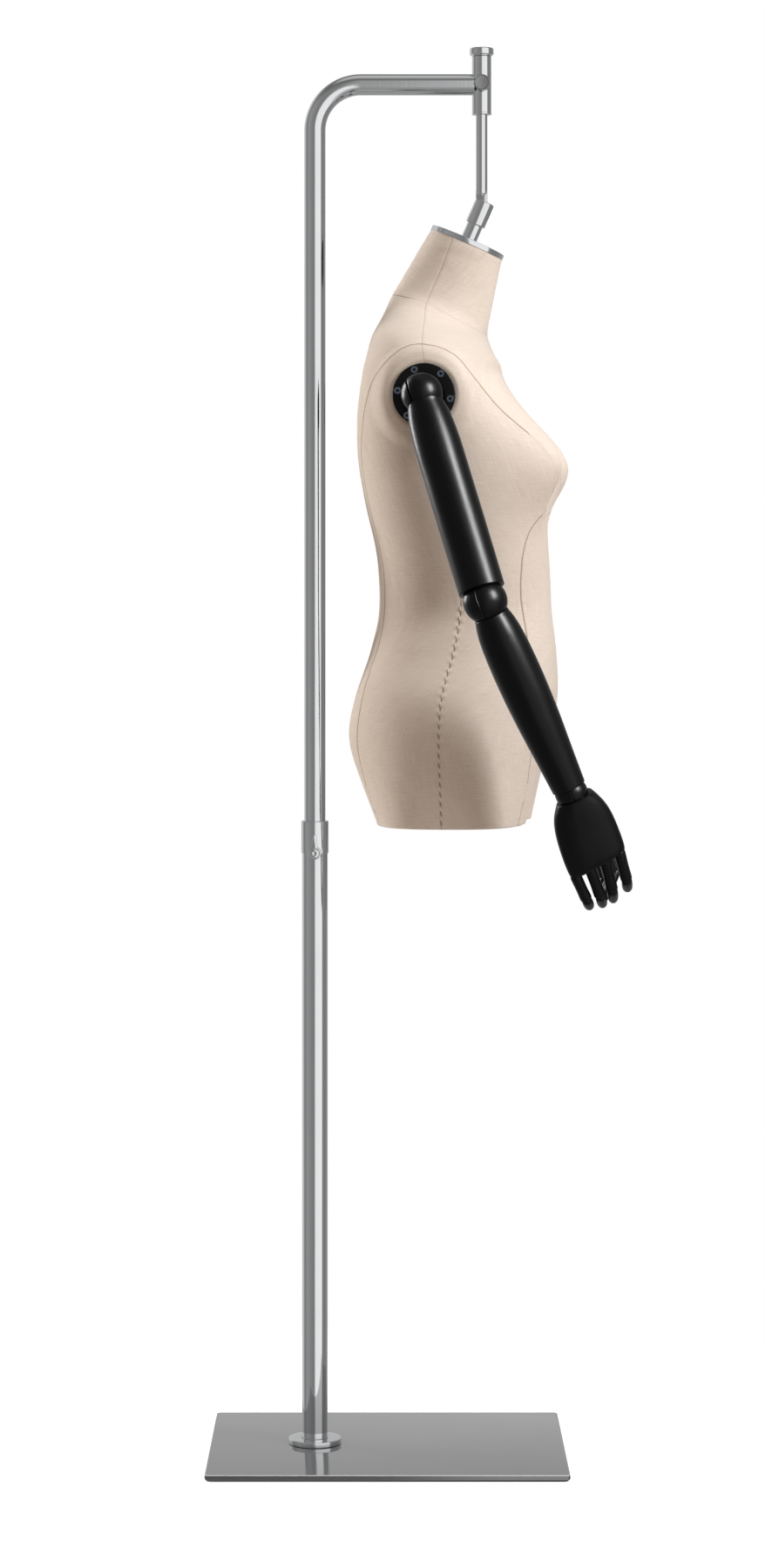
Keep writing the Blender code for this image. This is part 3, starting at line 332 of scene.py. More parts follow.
def plate_material():
    """Grey coated plate: metallic flake colour under gloss, with fine wear towards its edges, painted shade
    on its sides and a painted highlight along its rounded top edge.
    """
    made = Shader("plate_coating")
    place = made.place()
    flake = made.noise(place, 900.0, 2.0, 0.6)
    cloud = made.noise(place, 9.0, 4.0, 0.55)
    scuff = made.noise(made.stretched(place, (60.0, 700.0, 60.0)), 1.0, 3.0, 0.65)
    base = made.blend(flake, 0.3, 0.7, (0.345, 0.348, 0.352), (0.390, 0.393, 0.397))
    base = made.blend(cloud, 0.35, 0.7, base, (0.33, 0.333, 0.337), 0.25)
    edges = made.add("ShaderNodeNewGeometry", {}, "Pointiness")
    worn = made.fade(edges, 0.52, 0.60, 0.0, 0.6)
    base = made.mix(worn, base, (0.66, 0.665, 0.67))
    upwards = made.split(made.add("ShaderNodeTexCoord", {}, "Normal"))[2]
    # painted shade: faces that turn away from the top are darkened towards dark grey
    base = made.mix(made.fade(upwards, 0.05, 0.6, 1.0, 0.0), base, (0.20, 0.201, 0.204))
    # painted highlight: the rounded top edge is lighter and less metallic, so it shows as a bright line
    bevel = made.fade(upwards, 0.85, 0.98, 1.0, 0.0)
    bevel = made.sum("MULTIPLY", made.fade(upwards, 0.2, 0.4, 0.0, 1.0), bevel)
    base = made.mix(bevel, base, (0.80, 0.803, 0.81))
    rough = made.sum("ADD", made.fade(cloud, 0.3, 0.8, 0.07, 0.11), made.fade(scuff, 0.66, 0.76, 0.0, 0.06))
    made.set(Base_Color=base, Metallic=made.fade(bevel, 0.0, 1.0, 0.85, 0.1), Roughness=rough)
    made.set(Coat_Weight=0.25, Coat_Roughness=0.08)
    made.bump(made.sum("MULTIPLY", flake, 0.000008))
    return made.material


def lacquer_material():
    """Black lacquered beech: the pores show faintly, and the edges are rubbed to a dull grey."""
    made = Shader("black_lacquer")
    place = made.place()
    pores = made.noise(made.stretched(place, (900.0, 900.0, 55.0)), 1.0, 4.0, 0.6)
    cloud = made.noise(place, 30.0, 3.0, 0.5)
    base = made.blend(pores, 0.45, 0.75, (0.0030, 0.0030, 0.0034), (0.0060, 0.0058, 0.0058), 0.6)
    edges = made.add("ShaderNodeNewGeometry", {}, "Pointiness")
    worn = made.fade(edges, 0.56, 0.66, 0.0, 0.35)
    base = made.mix(worn, base, (0.05, 0.047, 0.045))
    rough = made.sum("ADD", made.fade(cloud, 0.3, 0.75, 0.29, 0.33), made.fade(pores, 0.5, 0.8, 0.0, 0.08))
    made.set(Base_Color=base, Roughness=rough, IOR=1.5, Specular_IOR_Level=0.16)
    made.bump(made.sum("MULTIPLY", pores, 0.00003))
    return made.material


def simple_material(name, dark, light, scale, rough, metallic=0.0, grain=(1.0, 1.0, 1.0), depth=0.00003):
    """A plain material whose colour, gloss and surface vary with one grain."""
    made = Shader(name)
    place = made.place()
    pattern = made.noise(made.stretched(place, grain), scale, 5.0, 0.6)
    base = made.blend(pattern, 0.3, 0.7, dark, light)
    gloss = made.fade(pattern, 0.3, 0.7, rough * 0.85, rough * 1.15)
    made.set(Base_Color=base, Metallic=metallic, Roughness=gloss)
    made.bump(made.sum("MULTIPLY", pattern, depth))
    return made.material


def seam_line(made, name, half_width, mask=None):
    """1 on a seam, falling to 0 at half_width from it, from the distance kept on the mesh."""
    distance = made.add("ShaderNodeAttribute", {}, "Fac", attribute_name=name)
    line = made.fade(made.sum("ABSOLUTE", distance), 0.0, half_width, 1.0, 0.0, True)
    if mask is None:
        return line
    return made.sum("MULTIPLY", line, made.add("ShaderNodeAttribute", {}, "Fac", attribute_name=mask))


def linen_material(seams):
    """Plain-woven linen. Threads follow the cloth's own grain; seams are pressed lines, soft at the sides,
    with painted shade in their creases and in the pits between the side seam's stitches.
    """
    made = Shader("linen")
    cloth = made.add("ShaderNodeUVMap", {}, "UV", uv_map="cloth")
    across, along, _ = made.split(cloth)
    wobble = made.noise(made.stretched(cloth, (60.0, 60.0, 1.0)), 1.0, 2.0)
    wobble = made.fade(wobble, 0.0, 1.0, -0.0006, 0.0006)
    pitch = 2 * math.pi / WEAVE_PITCH
    weft = made.sum("SINE", made.sum("MULTIPLY", made.sum("ADD", along, wobble), pitch))
    warp = made.sum("SINE", made.sum("MULTIPLY", made.sum("ADD", across, wobble), pitch))
    weave = made.sum("MULTIPLY", weft, warp)
    slub_across = made.noise(made.stretched(cloth, (45.0, 1100.0, 1.0)), 1.0, 4.0, 0.6)
    slub_along = made.noise(made.stretched(cloth, (1100.0, 38.0, 1.0)), 1.0, 4.0, 0.6)
    slubs = made.sum("ADD", slub_across, slub_along)
    cloud = made.noise(made.stretched(cloth, (9.0, 9.0, 1.0)), 1.0, 3.0)

    base = made.blend(slubs, 0.75, 1.25, (0.660, 0.560, 0.470), (0.820, 0.715, 0.620))
    base = made.mix(made.fade(weave, -1.0, 1.0, 0.18, 0.0), base, (0.54, 0.44, 0.35))
    base = made.blend(cloud, 0.3, 0.75, base, (0.62, 0.515, 0.42), 0.18)
    height = made.sum("MULTIPLY", weave, 0.00006)
    height = made.sum("MULTIPLY_ADD", slubs, 0.00011, height)
    for seam, mask, width in seams:
        crease = seam_line(made, seam, width, mask)
        shoulder = seam_line(made, seam, 0.0042, mask)
        # painted shade: each seam's crease is darkened towards dark brown
        base = made.mix(made.sum("MULTIPLY", crease, 0.74), base, (0.26, 0.16, 0.095))
        height = made.sum("MULTIPLY_ADD", crease, -0.00045, height)
        height = made.sum("MULTIPLY_ADD", shoulder, 0.00022, height)

    run = made.add("ShaderNodeAttribute", {}, "Fac", attribute_name="side_run")
    turns = made.sum("MULTIPLY", made.sum("SUBTRACT", run, STITCH_GAP), 2 * math.pi / STITCH_PITCH)
    pull = made.sum("COSINE", turns)
    # painted shade: the cloth is darkened in the pits between the side seam's stitches
    pit_shade = seam_line(made, "side", 0.0021, "side_stitched")
    pit_shade = made.sum("MULTIPLY", made.fade(pull, -0.55, 0.05, 0.0, 1.0), pit_shade)
    base = made.mix(made.sum("MULTIPLY", pit_shade, 0.60), base, (0.26, 0.18, 0.115))
    height = made.sum("MULTIPLY_ADD", pit_shade, -0.00040, height)
    near = seam_line(made, "side", 0.0065, "side_stitched")
    height = made.sum("MULTIPLY_ADD", made.sum("MULTIPLY", pull, near), -0.00045, height)

    made.set(Base_Color=base, Roughness=made.fade(slubs, 0.7, 1.3, 0.95, 0.82), Sheen_Weight=0.18,
             Sheen_Roughness=0.45, Specular_IOR_Level=0.25)
    made.bump(height)
    return made.material


def make_materials():
    blued = (0.25, 0.29, 0.37)
    return {
        "chrome": chrome_material("polished_chrome", (0.80, 0.805, 0.815), 0.075, (700.0, 700.0, 12.0)),
        "satin": chrome_material("satin_chrome", (0.36, 0.362, 0.366), 0.30, (40.0, 40.0, 900.0)),
        "plate": plate_material(),
        "lacquer": lacquer_material(),
        "linen": linen_material([
            ("princess", None, 0.0019),
            ("side", "side_shown", 0.0011),
            ("shoulder", "shoulder_shown", 0.0009),
            ("neck_base", "neck_base_shown", 0.0011),
            ("neck_side", "neck_side_shown", 0.0008),
            ("centre", None, 0.0011),
        ]),
        "thread": simple_material("thread", (0.80, 0.72, 0.62), (0.92, 0.86, 0.77), 2500.0, 0.75),
        "steel": simple_material("turned_steel", (0.36, 0.365, 0.37), (0.52, 0.525, 0.53), 60.0, 0.3,
                                 1.0, (1.0, 1.0, 30.0)),
        "screw": simple_material("blued_steel", tuple(v * 0.6 for v in blued), blued, 400.0, 0.22, 1.0),
        "nylon": simple_material("nylon", (0.05, 0.05, 0.052), (0.085, 0.085, 0.088), 500.0, 0.45),
        "pad": simple_material("rubber_pad", (0.022, 0.022, 0.022), (0.04, 0.04, 0.04), 700.0, 0.85,
                               depth=0.00012),
        "shell": simple_material("moulded_shell", (0.50, 0.40, 0.27), (0.68, 0.57, 0.42), 130.0, 0.7,
                                 depth=0.00015),
        "timber": simple_material("plywood", (0.44, 0.29, 0.16), (0.66, 0.49, 0.31), 7.0, 0.6, 0.0,
                                  (14.0, 2.0, 40.0), 0.00008),
    }


# ---------------------------------------------------------------- mesh helpers


def turn(axis, degrees):
    return Matrix.Rotation(math.radians(degrees), 4, axis)


def shift(x, y, z):
    return Matrix.Translation((x, y, z))


def rings_mesh(rings, closed_loop=False):
    """Faces between neighbouring rings of points; a ring of one point is a tip."""
    builder = bmesh.new()
    made = [[builder.verts.new(point) for point in ring] for ring in rings]
    pairs = list(zip(made, made[1:]))
    if closed_loop:
        pairs.append((made[-1], made[0]))
    for first, second in pairs:
        count = max(len(first), len(second))
        for i in range(count):
            j = (i + 1) % count
            here, there = len(first), len(second)
            corners = (first[i % here], second[i % there], second[j % there], first[j % here])
            builder.faces.new(tuple(dict.fromkeys(corners)))
    if not closed_loop:
        for ring in (made[0], made[-1]):
            if len(ring) > 2:
                builder.faces.new(ring)
    return builder


def circle(radius, z, segments=ROUND):
    if radius == 0:
        return [Vector((0, 0, z))]
    step = 2 * math.pi / segments
    return [Vector((radius * math.cos(i * step), radius * math.sin(i * step), z)) for i in range(segments)]


def filleted(profile, size, closed_loop=False, steps=3):
    """Rounds every corner of a (radius, z) outline that isn't on the axis, by at most size."""
    points = [Vector(pair) for pair in profile]
    count = len(points)
    made = []
    for i, point in enumerate(points):
        at_end = not closed_loop and i in (0, count - 1)
        if at_end or point.x == 0:
            made.append(tuple(point))
            continue
        before = points[i - 1] - point
        after = points[(i + 1) % count] - point
        reach = min(size, before.length * 0.45, after.length * 0.45)
        start = point + before.normalized() * reach
        end = point + after.normalized() * reach
        for step in range(steps + 1):
            t = step / steps
            made.append(tuple(start * (1 - t) ** 2 + point * 2 * t * (1 - t) + end * t ** 2))
    return made


def turned(profile, segments=ROUND, closed_loop=False):
    return rings_mesh([circle(radius, z, segments) for radius, z in profile], closed_loop)


def solid(profile, size, steps=3, segments=ROUND):
    """A turned body without a hole, its corners rounded by size."""
    return turned(filleted(profile, size, False, steps), segments)


def hollow(profile, size, steps=3):
    """A turned body with a hole: the outline goes once round its wall."""
    return turned(filleted(profile, size, True, steps), ROUND, True)


def pipe(outer, inner, low, high, size):
    return hollow([(outer, low), (outer, high), (inner, high), (inner, low)], size)


def slab(outline, y, thickness):
    """A flat closed body: the (x, z) outline at y, carried back by thickness."""
    builder = bmesh.new()
    face = builder.faces.new([builder.verts.new((x, y, z)) for x, z in outline])
    grown = bmesh.ops.extrude_face_region(builder, geom=[face])
    front = [item for item in grown["geom"] if isinstance(item, bmesh.types.BMVert)]
    bmesh.ops.translate(builder, verts=front, vec=(0, -thickness, 0))
    return builder


def arc(radius, centre_z, start, end, steps):
    """(radius, z) pairs on a circle about the turning axis; 0 degrees is straight down."""
    pairs = []
    for i in range(steps + 1):
        angle = math.radians(start + (end - start) * i / steps)
        across = radius * math.sin(angle)
        pairs.append((0 if across < 1e-6 else across, centre_z - radius * math.cos(angle)))
    return pairs


def spline(a, b, c, d, t):
    """The smooth curve through a, b, c and d, at t from b to c."""
    return b + 0.5 * t * (c - a + t * (2 * a - 5 * b + 4 * c - d + t * (3 * (b - c) + d - a)))


def smooth_rows(rows, steps):
    """Rows of numbers with more between them, on a smooth curve."""
    made = []
    last = len(rows) - 1
    for i in range(last):
        before, here, there, after = rows[max(i - 1, 0)], rows[i], rows[i + 1], rows[min(i + 2, last)]
        for step in range(steps):
            made.append(tuple(spline(*four, step / steps) for four in zip(before, here, there, after)))
    made.append(tuple(rows[last]))
    return made


def merge(*builders):
    """Several closed meshes as one."""
    target = builders[0]
    for builder in builders[1:]:
        holder = bpy.data.meshes.new("holder")
        builder.to_mesh(holder)
        builder.free()
        target.from_mesh(holder)
        bpy.data.meshes.remove(holder)
    return target


def moved(builder, matrix):
    builder.transform(matrix)
    return builder


def piece(name, builder, look, body, node=None, place=None, sharp=40):
    """A finished piece that rides on a CAD body and stands for a CAD node."""
    bmesh.ops.recalc_face_normals(builder, faces=builder.faces)
    mesh = bpy.data.meshes.new(name)
    builder.to_mesh(mesh)
    builder.free()
    return mesh_piece(name, mesh, look, body, node, place, sharp)


def mesh_piece(name, mesh, look, body, node=None, place=None, sharp=40):
    mesh.shade_smooth()
    mesh.set_sharp_from_angle(angle=math.radians(sharp))
    mesh.materials.append(looks[look])
    made = bpy.data.objects.new(name, mesh)
    bpy.context.scene.collection.objects.link(made)
    made.matrix_world = place or Matrix.Identity(4)
    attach(made, body)
    if node:
        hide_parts(node)
    if look in ("lacquer", "screw"):
        lacquered.objects.link(made)
    return made


# ---------------------------------------------------------------- stand


def plate_mesh():
    """The plate's rounded corners and edges, ring by ring from below."""
    rings = []
    bevel = 0.0009
    rows = [(bevel, PLATE_BOTTOM), (0.0, PLATE_BOTTOM + bevel)]
    for i in range(5):
        angle = math.radians(90 * i / 4)
        rows.append((bevel * (1 - math.cos(angle)), PLATE_TOP - bevel * (1 - math.sin(angle))))
    for inset, z in rows:
        ring = []
        corner = 0.005 - inset
        for index, (sign_x, sign_y) in enumerate(((1, 1), (-1, 1), (-1, -1), (1, -1))):
            for i in range(9):
                angle = math.radians(90 * (index + i / 8))
                x = sign_x * (PLATE_LENGTH / 2 - inset - corner) + corner * math.cos(angle)
                y = sign_y * (PLATE_WIDTH / 2 - inset - corner) + corner * math.sin(angle)
                ring.append(Vector((x, y, z)))
        rings.append(ring)
    return rings_mesh(rings)


def make_stand():
    post = shift(POST_X, 0, 0)
    piece("plate", plate_mesh(), "plate", "stand", "base_plate")
    foot = PLATE_TOP + GAP
    bore = LOWER_RADIUS + GAP
    flange = pipe(FLANGE_RADIUS, bore, foot, foot + FLANGE_THICK, 0.0009)
    piece("flange", flange, "chrome", "stand", "foot_flange", post)
    tube = pipe(LOWER_RADIUS, LOWER_BORE, foot, LOWER_TOP, 0.0003)
    piece("post_lower", tube, "chrome", "stand", "lower_tube", post)

    shoulder = LOWER_TOP + 0.0021
    collar = [(COLLAR_RADIUS, COLLAR_BOTTOM), (COLLAR_RADIUS, COLLAR_TOP), (UPPER_RADIUS + GAP, COLLAR_TOP),
              (UPPER_RADIUS + GAP, shoulder), (bore, shoulder), (bore, COLLAR_BOTTOM)]
    boss = solid([(0, 0.0150), (0.0075, 0.0150), (0.0075, 0.0195), (0, 0.0195)], 0.0012, 3, 48)
    boss = moved(boss, shift(0, 0, SCREW_HEIGHT) @ turn("X", 90))
    piece("collar", merge(hollow(collar, 0.0011, 4), boss), "chrome", "stand", "lock_collar", post)

    hub = 0.0198
    lever = solid([(0, 0.0123), (0.003, 0.0123), (0.003, hub), (0.0060, hub), (0.0060, hub + 0.005),
                   (0.0048, hub + 0.0062), (0.0024, hub + 0.0066), (0.0018, hub + 0.0056), (0, hub + 0.0056)],
                  0.0005, 3, 48)
    lever = moved(lever, turn("X", 90))
    half = [(0.0036, 0.0), (0.0034, 0.006), (0.0026, 0.014), (0.0021, 0.019), (0.0011, 0.0216)]
    outline = [(-0.0036, 0.0), *half, (0.0, 0.022)] + [(-x, z) for x, z in half[:0:-1]]
    wing = slab(outline, -hub - 0.0015, 0.0028)
    bmesh.ops.bevel(wing, geom=list(wing.edges), offset=0.0006, segments=3, affect="EDGES", profile=0.5)
    piece("lever", merge(lever, wing), "chrome", "lock", "lock_lever", shift(POST_X, 0, SCREW_HEIGHT))


def bent_rings(radius, end):
    """Rings of the upper tube: up the post, round the bend and out along the arm to x = end."""
    path = [(Vector((0, 0, UPPER_BOTTOM)), 0.0)]
    steps = 40
    bend_start = ARM_HEIGHT - BEND_RADIUS
    for i in range(steps + 1):
        angle = math.radians(90 * i / steps)
        x = BEND_RADIUS * (1 - math.cos(angle))
        path.append((Vector((x, 0, bend_start + BEND_RADIUS * math.sin(angle))), angle))
    path.append((Vector((end, 0, ARM_HEIGHT)), math.pi / 2))
    rings = []
    for centre, angle in path:
        lean = Matrix.Rotation(angle, 3, "Y")
        rings.append([centre + lean @ point for point in circle(radius, 0)])
    return rings


def make_mast():
    reach = HANGER_X - POST_X - 0.0085
    rings = bent_rings(UPPER_RADIUS, reach) + list(reversed(bent_rings(UPPER_BORE, reach)))
    piece("post_upper", rings_mesh(rings, True), "chrome", "mast", "upper_tube", shift(POST_X, 0, 0))

    hanger = shift(HANGER_X, 0, 0)
    socket = pipe(SLEEVE_RADIUS, SLEEVE_BORE, SLEEVE_BOTTOM, SLEEVE_TOP, 0.0007)
    lip = pipe(SLEEVE_RADIUS + 0.0002, SLEEVE_RADIUS - 0.001, SLEEVE_BOTTOM, SLEEVE_BOTTOM + 0.0022, 0.0006)
    piece("sleeve", merge(socket, lip), "chrome", "mast", "hanger_sleeve", hanger)

    face = SLEEVE_RADIUS + 0.0008
    knob = [(0, 0.0073), (0.0023, 0.0073), (0.0023, face), (KNOB_RADIUS, face), (KNOB_RADIUS, KNOB_FACE),
            (KNOB_RADIUS - 0.0012, KNOB_FACE), (KNOB_RADIUS - 0.0016, KNOB_FACE - 0.0005),
            (0, KNOB_FACE - 0.0004)]
    knob_place = shift(HANGER_X, 0, ARM_HEIGHT) @ turn("X", 90)
    piece("knob", solid(knob, 0.0006), "satin", "knob", "hanger_knob", knob_place)

    bottom = SLEEVE_TOP + GAP
    edge = SLEEVE_RADIUS + 0.0004
    cap = [(0, bottom + 0.0072), (0.0044, bottom + 0.0072), (0.0044, bottom), (edge, bottom),
           (edge, bottom + 0.0009), (CAP_RADIUS, bottom + 0.0016), (CAP_RADIUS, CAP_TOP), (0, CAP_TOP)]
    piece("top_cap", solid(cap, 0.0016, 5), "chrome", "cap", "hanger_cap", hanger)


def tongue_mesh():
    """The flat end of the rod round the pivot, with softened edges."""
    half = ROD_RADIUS - 0.0002
    outline = []
    for i in range(25):
        angle = math.radians(180 + 180 * i / 24)
        outline.append((half * math.cos(angle), half * math.sin(angle)))
    outline += [(half, 0.0220), (-half, 0.0220)]
    builder = slab(outline, TONGUE_THICK / 2, TONGUE_THICK)
    rims = [edge for edge in builder.edges if abs(edge.verts[0].co.y - edge.verts[1].co.y) < 1e-6]
    bmesh.ops.bevel(builder, geom=rims, offset=0.0005, segments=2, affect="EDGES", profile=0.5)
    return builder


def make_rod(swivel):
    rod = [(0, ROD_SHOULDER - 0.003), (ROD_RADIUS - 0.0016, ROD_SHOULDER - 0.003), (ROD_RADIUS, ROD_SHOULDER),
           (ROD_RADIUS, SLEEVE_TOP), (0.004, SLEEVE_TOP), (0.004, SLEEVE_TOP + 0.007),
           (0, SLEEVE_TOP + 0.007)]
    tongue = moved(tongue_mesh(), shift(0, 0, PIVOT_HEIGHT))
    piece("rod", merge(solid(rod, 0.0006), tongue), "chrome", "rod", "hanger_rod", swivel)


def carved(builder, cutter):
    """builder with the closed mesh cutter taken away from it."""
    objects = []
    for name, source in (("carved", builder), ("cutter", cutter)):
        bmesh.ops.recalc_face_normals(source, faces=source.faces)
        mesh = bpy.data.meshes.new(name)
        source.to_mesh(mesh)
        source.free()
        made = bpy.data.objects.new(name, mesh)
        bpy.context.scene.collection.objects.link(made)
        objects.append(made)
    modifier = objects[0].modifiers.new("cut", "BOOLEAN")
    modifier.operation = "DIFFERENCE"
    modifier.solver = "EXACT"
    modifier.object = objects[1]
    graph = bpy.context.evaluated_depsgraph_get()
    result = bmesh.new()
    result.from_mesh(objects[0].evaluated_get(graph).to_mesh())
    for made in objects:
        mesh = made.data
        bpy.data.objects.remove(made)
        bpy.data.meshes.remove(mesh)
    return result


def box_mesh(low, high):
    builder = bmesh.new()
    bmesh.ops.create_cube(builder, size=1.0)
    low, high = Vector(low), Vector(high)
    return moved(builder, Matrix.Translation((low + high) / 2) @ Matrix.Diagonal((*(high - low), 1.0)))


def make_neck(neck):
    stem_end = NECK_CAP_TOP + GAP
    body = [(0, 0.0094), (FORK_RADIUS, 0.0094), (FORK_RADIUS, -0.0184), (STEM_RADIUS, -0.0184),
            (STEM_RADIUS, stem_end), (0, stem_end)]
    half = TONGUE_THICK / 2 + PLAY
    fork = carved(solid(body, 0.0013, 4), box_mesh((-0.02, -half, -0.0078), (0.02, half, 0.02)))
    piece("fork", fork, "chrome", "torso", "neck_fork", neck, 30)

    bottom = NECK_CAP_TOP - NECK_CAP_THICK
    cap = [(0, bottom), (NECK_CAP_RADIUS, bottom), (NECK_CAP_RADIUS, NECK_CAP_TOP), (0, NECK_CAP_TOP)]
    piece("neck_disc", solid(cap, 0.0006, 4, 144), "chrome", "torso", "neck_cap", neck)


# ---------------------------------------------------------------- torso


def smooth_step(values):
    values = np.clip(values, 0.0, 1.0)
    return values * values * (3 - 2 * values)


def sections_at(positions):
    """Sections at positions along the rows, on a smooth curve through them, one row of numbers each."""
    rows = np.array(SECTIONS)
    last = len(rows) - 1
    index = np.minimum(positions.astype(int), last - 1)
    t = (positions - index)[:, None]
    before, after = rows[np.maximum(index - 1, 0)], rows[np.minimum(index + 2, last)]
    return spline(before, rows[index], rows[index + 1], after, t)


def mound(shape, side, height):
    spread = np.where(height > shape["height"], shape["above"], shape["below"])
    across = (np.abs(side) - shape["side"]) / shape["width"]
    along = (height - shape["height"]) / spread
    return shape["depth"] * np.exp(-across ** 2 - along ** 2)


def torso_surface(positions, angles, inset):
    """Points of the torso, one row for each position and one column for each angle, in the torso's frame."""
    values = sections_at(positions)[:, :, None]
    height, tilt, widest, behind, ahead, half_width, square = (values[:, i] for i in range(7))
    cosine, sine = np.cos(angles)[None, :], np.sin(angles)[None, :]
    depth = np.where(cosine > 0, ahead, behind) - inset
    along = depth * np.sign(cosine) * np.abs(cosine) ** (2 / square)
    side = (half_width - inset) * np.sign(sine) * np.abs(sine) ** (2 / square)
    front = np.clip(cosine, 0, 1) ** 0.5
    back = np.clip(-cosine, 0, 1) ** 0.5
    along = along + front * mound(BUST, side, height) - back * mound(SEAT, side, height)
    low = smooth_step((NOTCH_TOP - height) / (NOTCH_TOP - TORSO_BOTTOM))
    middle = low * np.exp(-((side / NOTCH_WIDTH) ** 2))
    along = along + middle * (NOTCH_BACK * back - NOTCH_FRONT * front)
    lean = np.radians(tilt)
    x = widest + along * np.cos(lean)
    z = height - along * np.sin(lean)
    reach = np.hypot(x - SHOULDER_X, z - SHOULDER_HEIGHT)
    flat = smooth_step((ARMHOLE_BLEND - reach) / (ARMHOLE_BLEND - ARMHOLE_FLAT)) * (np.abs(side) > FLANK)
    side = side + flat * (np.sign(side) * (ARMHOLE_SIDE - inset) - side)
    return np.stack([x, side, z], axis=-1)


def level_positions(spacing):
    """Positions along the rows whose levels lie about spacing apart."""
    heights = [row[0] for row in SECTIONS]
    positions = []
    for i, (upper, lower) in enumerate(zip(heights, heights[1:])):
        count = max(3, round((upper - lower) / spacing))
        positions += [i + k / count for k in range(count)]
    return np.array(positions + [len(heights) - 1.0])


def normals_of(grid):
    around = np.roll(grid, -1, axis=1) - np.roll(grid, 1, axis=1)
    down = np.gradient(grid, axis=0)
    normals = np.cross(down, around)
    return normals / np.maximum(np.linalg.norm(normals, axis=-1, keepdims=True), 1e-9)


def lengths_along(points):
    """How far along a line each of its points lies."""
    return np.concatenate([[0], np.cumsum(np.linalg.norm(np.diff(points, axis=0), axis=1))])


def resampled(line, spacing):
    """A line of (x, height) pairs with points about spacing apart."""
    points = np.array(smooth_rows(line, 6))
    lengths = lengths_along(points)
    wanted = np.linspace(0, lengths[-1], max(2, int(lengths[-1] / spacing)))
    return np.stack([np.interp(wanted, lengths, points[:, i]) for i in range(points.shape[1])], axis=1)


def on_surface(line, grid):
    """The (x, height) line as points on the torso's left side."""
    flat = grid.reshape(-1, 3)
    left = flat[flat[:, 1] > 0.002]
    points = []
    for x, z in line:
        away = (left[:, 0] - x) ** 2 + (left[:, 2] - z) ** 2
        near = np.argsort(away)[:4]
        weights = 1 / (away[near] + 1e-8)
        points.append((x, float((left[near, 1] * weights).sum() / weights.sum()), z))
    return np.array(points)


def distance_to(line, points):
    """Distance from each point to a line, and how far along the line the nearest place is."""
    best = np.full(len(points), 1e9)
    run = np.zeros(len(points))
    start = 0.0
    for a, b in zip(line, line[1:]):
        step = b - a
        length = np.linalg.norm(step)
        t = np.clip((points - a) @ step / (length * length), 0, 1)
        away = np.linalg.norm(points - a - t[:, None] * step, axis=1)
        closer = away < best
        best[closer] = away[closer]
        run[closer] = start + t[closer] * length
        start += length
    return best, run


def side_of(line, x, z):
    """+1 on one side of an (x, height) line that runs downwards or forwards, -1 on the other."""
    best = np.full(len(x), 1e9)
    sign = np.ones(len(x))
    for (ax, az), (bx, bz) in zip(line, line[1:]):
        dx, dz = bx - ax, bz - az
        t = np.clip(((x - ax) * dx + (z - az) * dz) / (dx * dx + dz * dz), 0, 1)
        away = np.hypot(x - ax - t * dx, z - az - t * dz)
        closer = away < best - 1e-9
        best[closer] = away[closer]
        sign[closer] = np.sign((x - ax) * dz - (z - az) * dx)[closer]
    return np.where(sign == 0, 1, sign)


def inside(loop, x, z):
    """Whether each (x, z) lies inside a loop."""
    result = np.zeros(len(x), bool)
    for (ax, az), (bx, bz) in zip(loop, np.roll(loop, -1, axis=0)):
        crosses = (az > z) != (bz > z)
        edge = ax + (z - az) * (bx - ax) / (bz - az if bz != az else 1e-9)
        result ^= crosses & (x < edge)
    return result


def seam_distances(points, grid):
    """Every seam's signed distance at each point, with the masks of those that end."""
    x, side, z = points[:, 0], points[:, 1], points[:, 2]
    mirrored = np.stack([x, np.abs(side), z], axis=1)
    made = {"centre": side.copy()}
    lines = {
        "princess": PRINCESS_SEAM,
        "side": SIDE_SEAM,
        "shoulder": SHOULDER_SEAM,
        "neck_side": NECK_SIDE_SEAM,
        "neck_base": NECK_BASE_SEAM,
    }
    for name, line in lines.items():
        flat = resampled(line, 0.004)
        placed = on_surface(flat, grid)
        away, run = distance_to(placed, mirrored)
        if name == "princess":
            sign = np.where(inside(flat, x, z), 1.0, -1.0)
        else:
            sign = side_of(flat, x, z)
        made[name] = np.clip(away, 0, 0.015) * sign
        lengths = lengths_along(placed)
        if name in ENDED_SEAMS:
            ends = smooth_step(run / 0.003) * smooth_step((lengths[-1] - run) / 0.002)
            made[name + "_shown"] = ENDED_SEAMS[name] * ends
        if name == "neck_base":
            made["neck_base_shown"] = 0.25 + 0.75 * smooth_step((0.062 - run) / 0.025)
        if name == "side":
            made["side_run"] = run - np.interp(-STITCHED_BELOW, -flat[:, 1], lengths)
            made["side_stitched"] = smooth_step(made["side_run"] / 0.01)
    return made


def cover_relief(points, seams):
    """How far the cloth stands off the form: soft seam shoulders, a lip round the armhole and small pulls."""
    x, side, z = points[:, 0], points[:, 1], points[:, 2]
    relief = np.zeros(len(points))
    for name in ("princess", "side", "shoulder", "neck_base", "neck_side"):
        away = np.abs(seams[name])
        shoulder = 0.00030 * np.exp(-(((away - 0.0035) / 0.0025) ** 2))
        crease = 0.00035 * np.exp(-((away / 0.0016) ** 2))
        relief += seams.get(name + "_shown", 1.0) * (shoulder - crease)
    reach = np.hypot(x - SHOULDER_X, z - SHOULDER_HEIGHT)
    outer = np.abs(side) > FLANK
    relief += outer * 0.0013 * np.exp(-(((reach - RING_RADIUS - 0.0035) / 0.0032) ** 2))
    for i, (px, py, pz) in enumerate(points):
        pull = noise.noise(Vector((px * 9, py * 9, pz * 26)))
        fine = noise.noise(Vector((px * 40, py * 40 + 7, pz * 110)))
        near_neck = math.exp(-(((pz - 1.352) / 0.022) ** 2))
        relief[i] += 0.00022 * pull + fine * (0.00004 + 0.0005 * near_neck)
    return relief


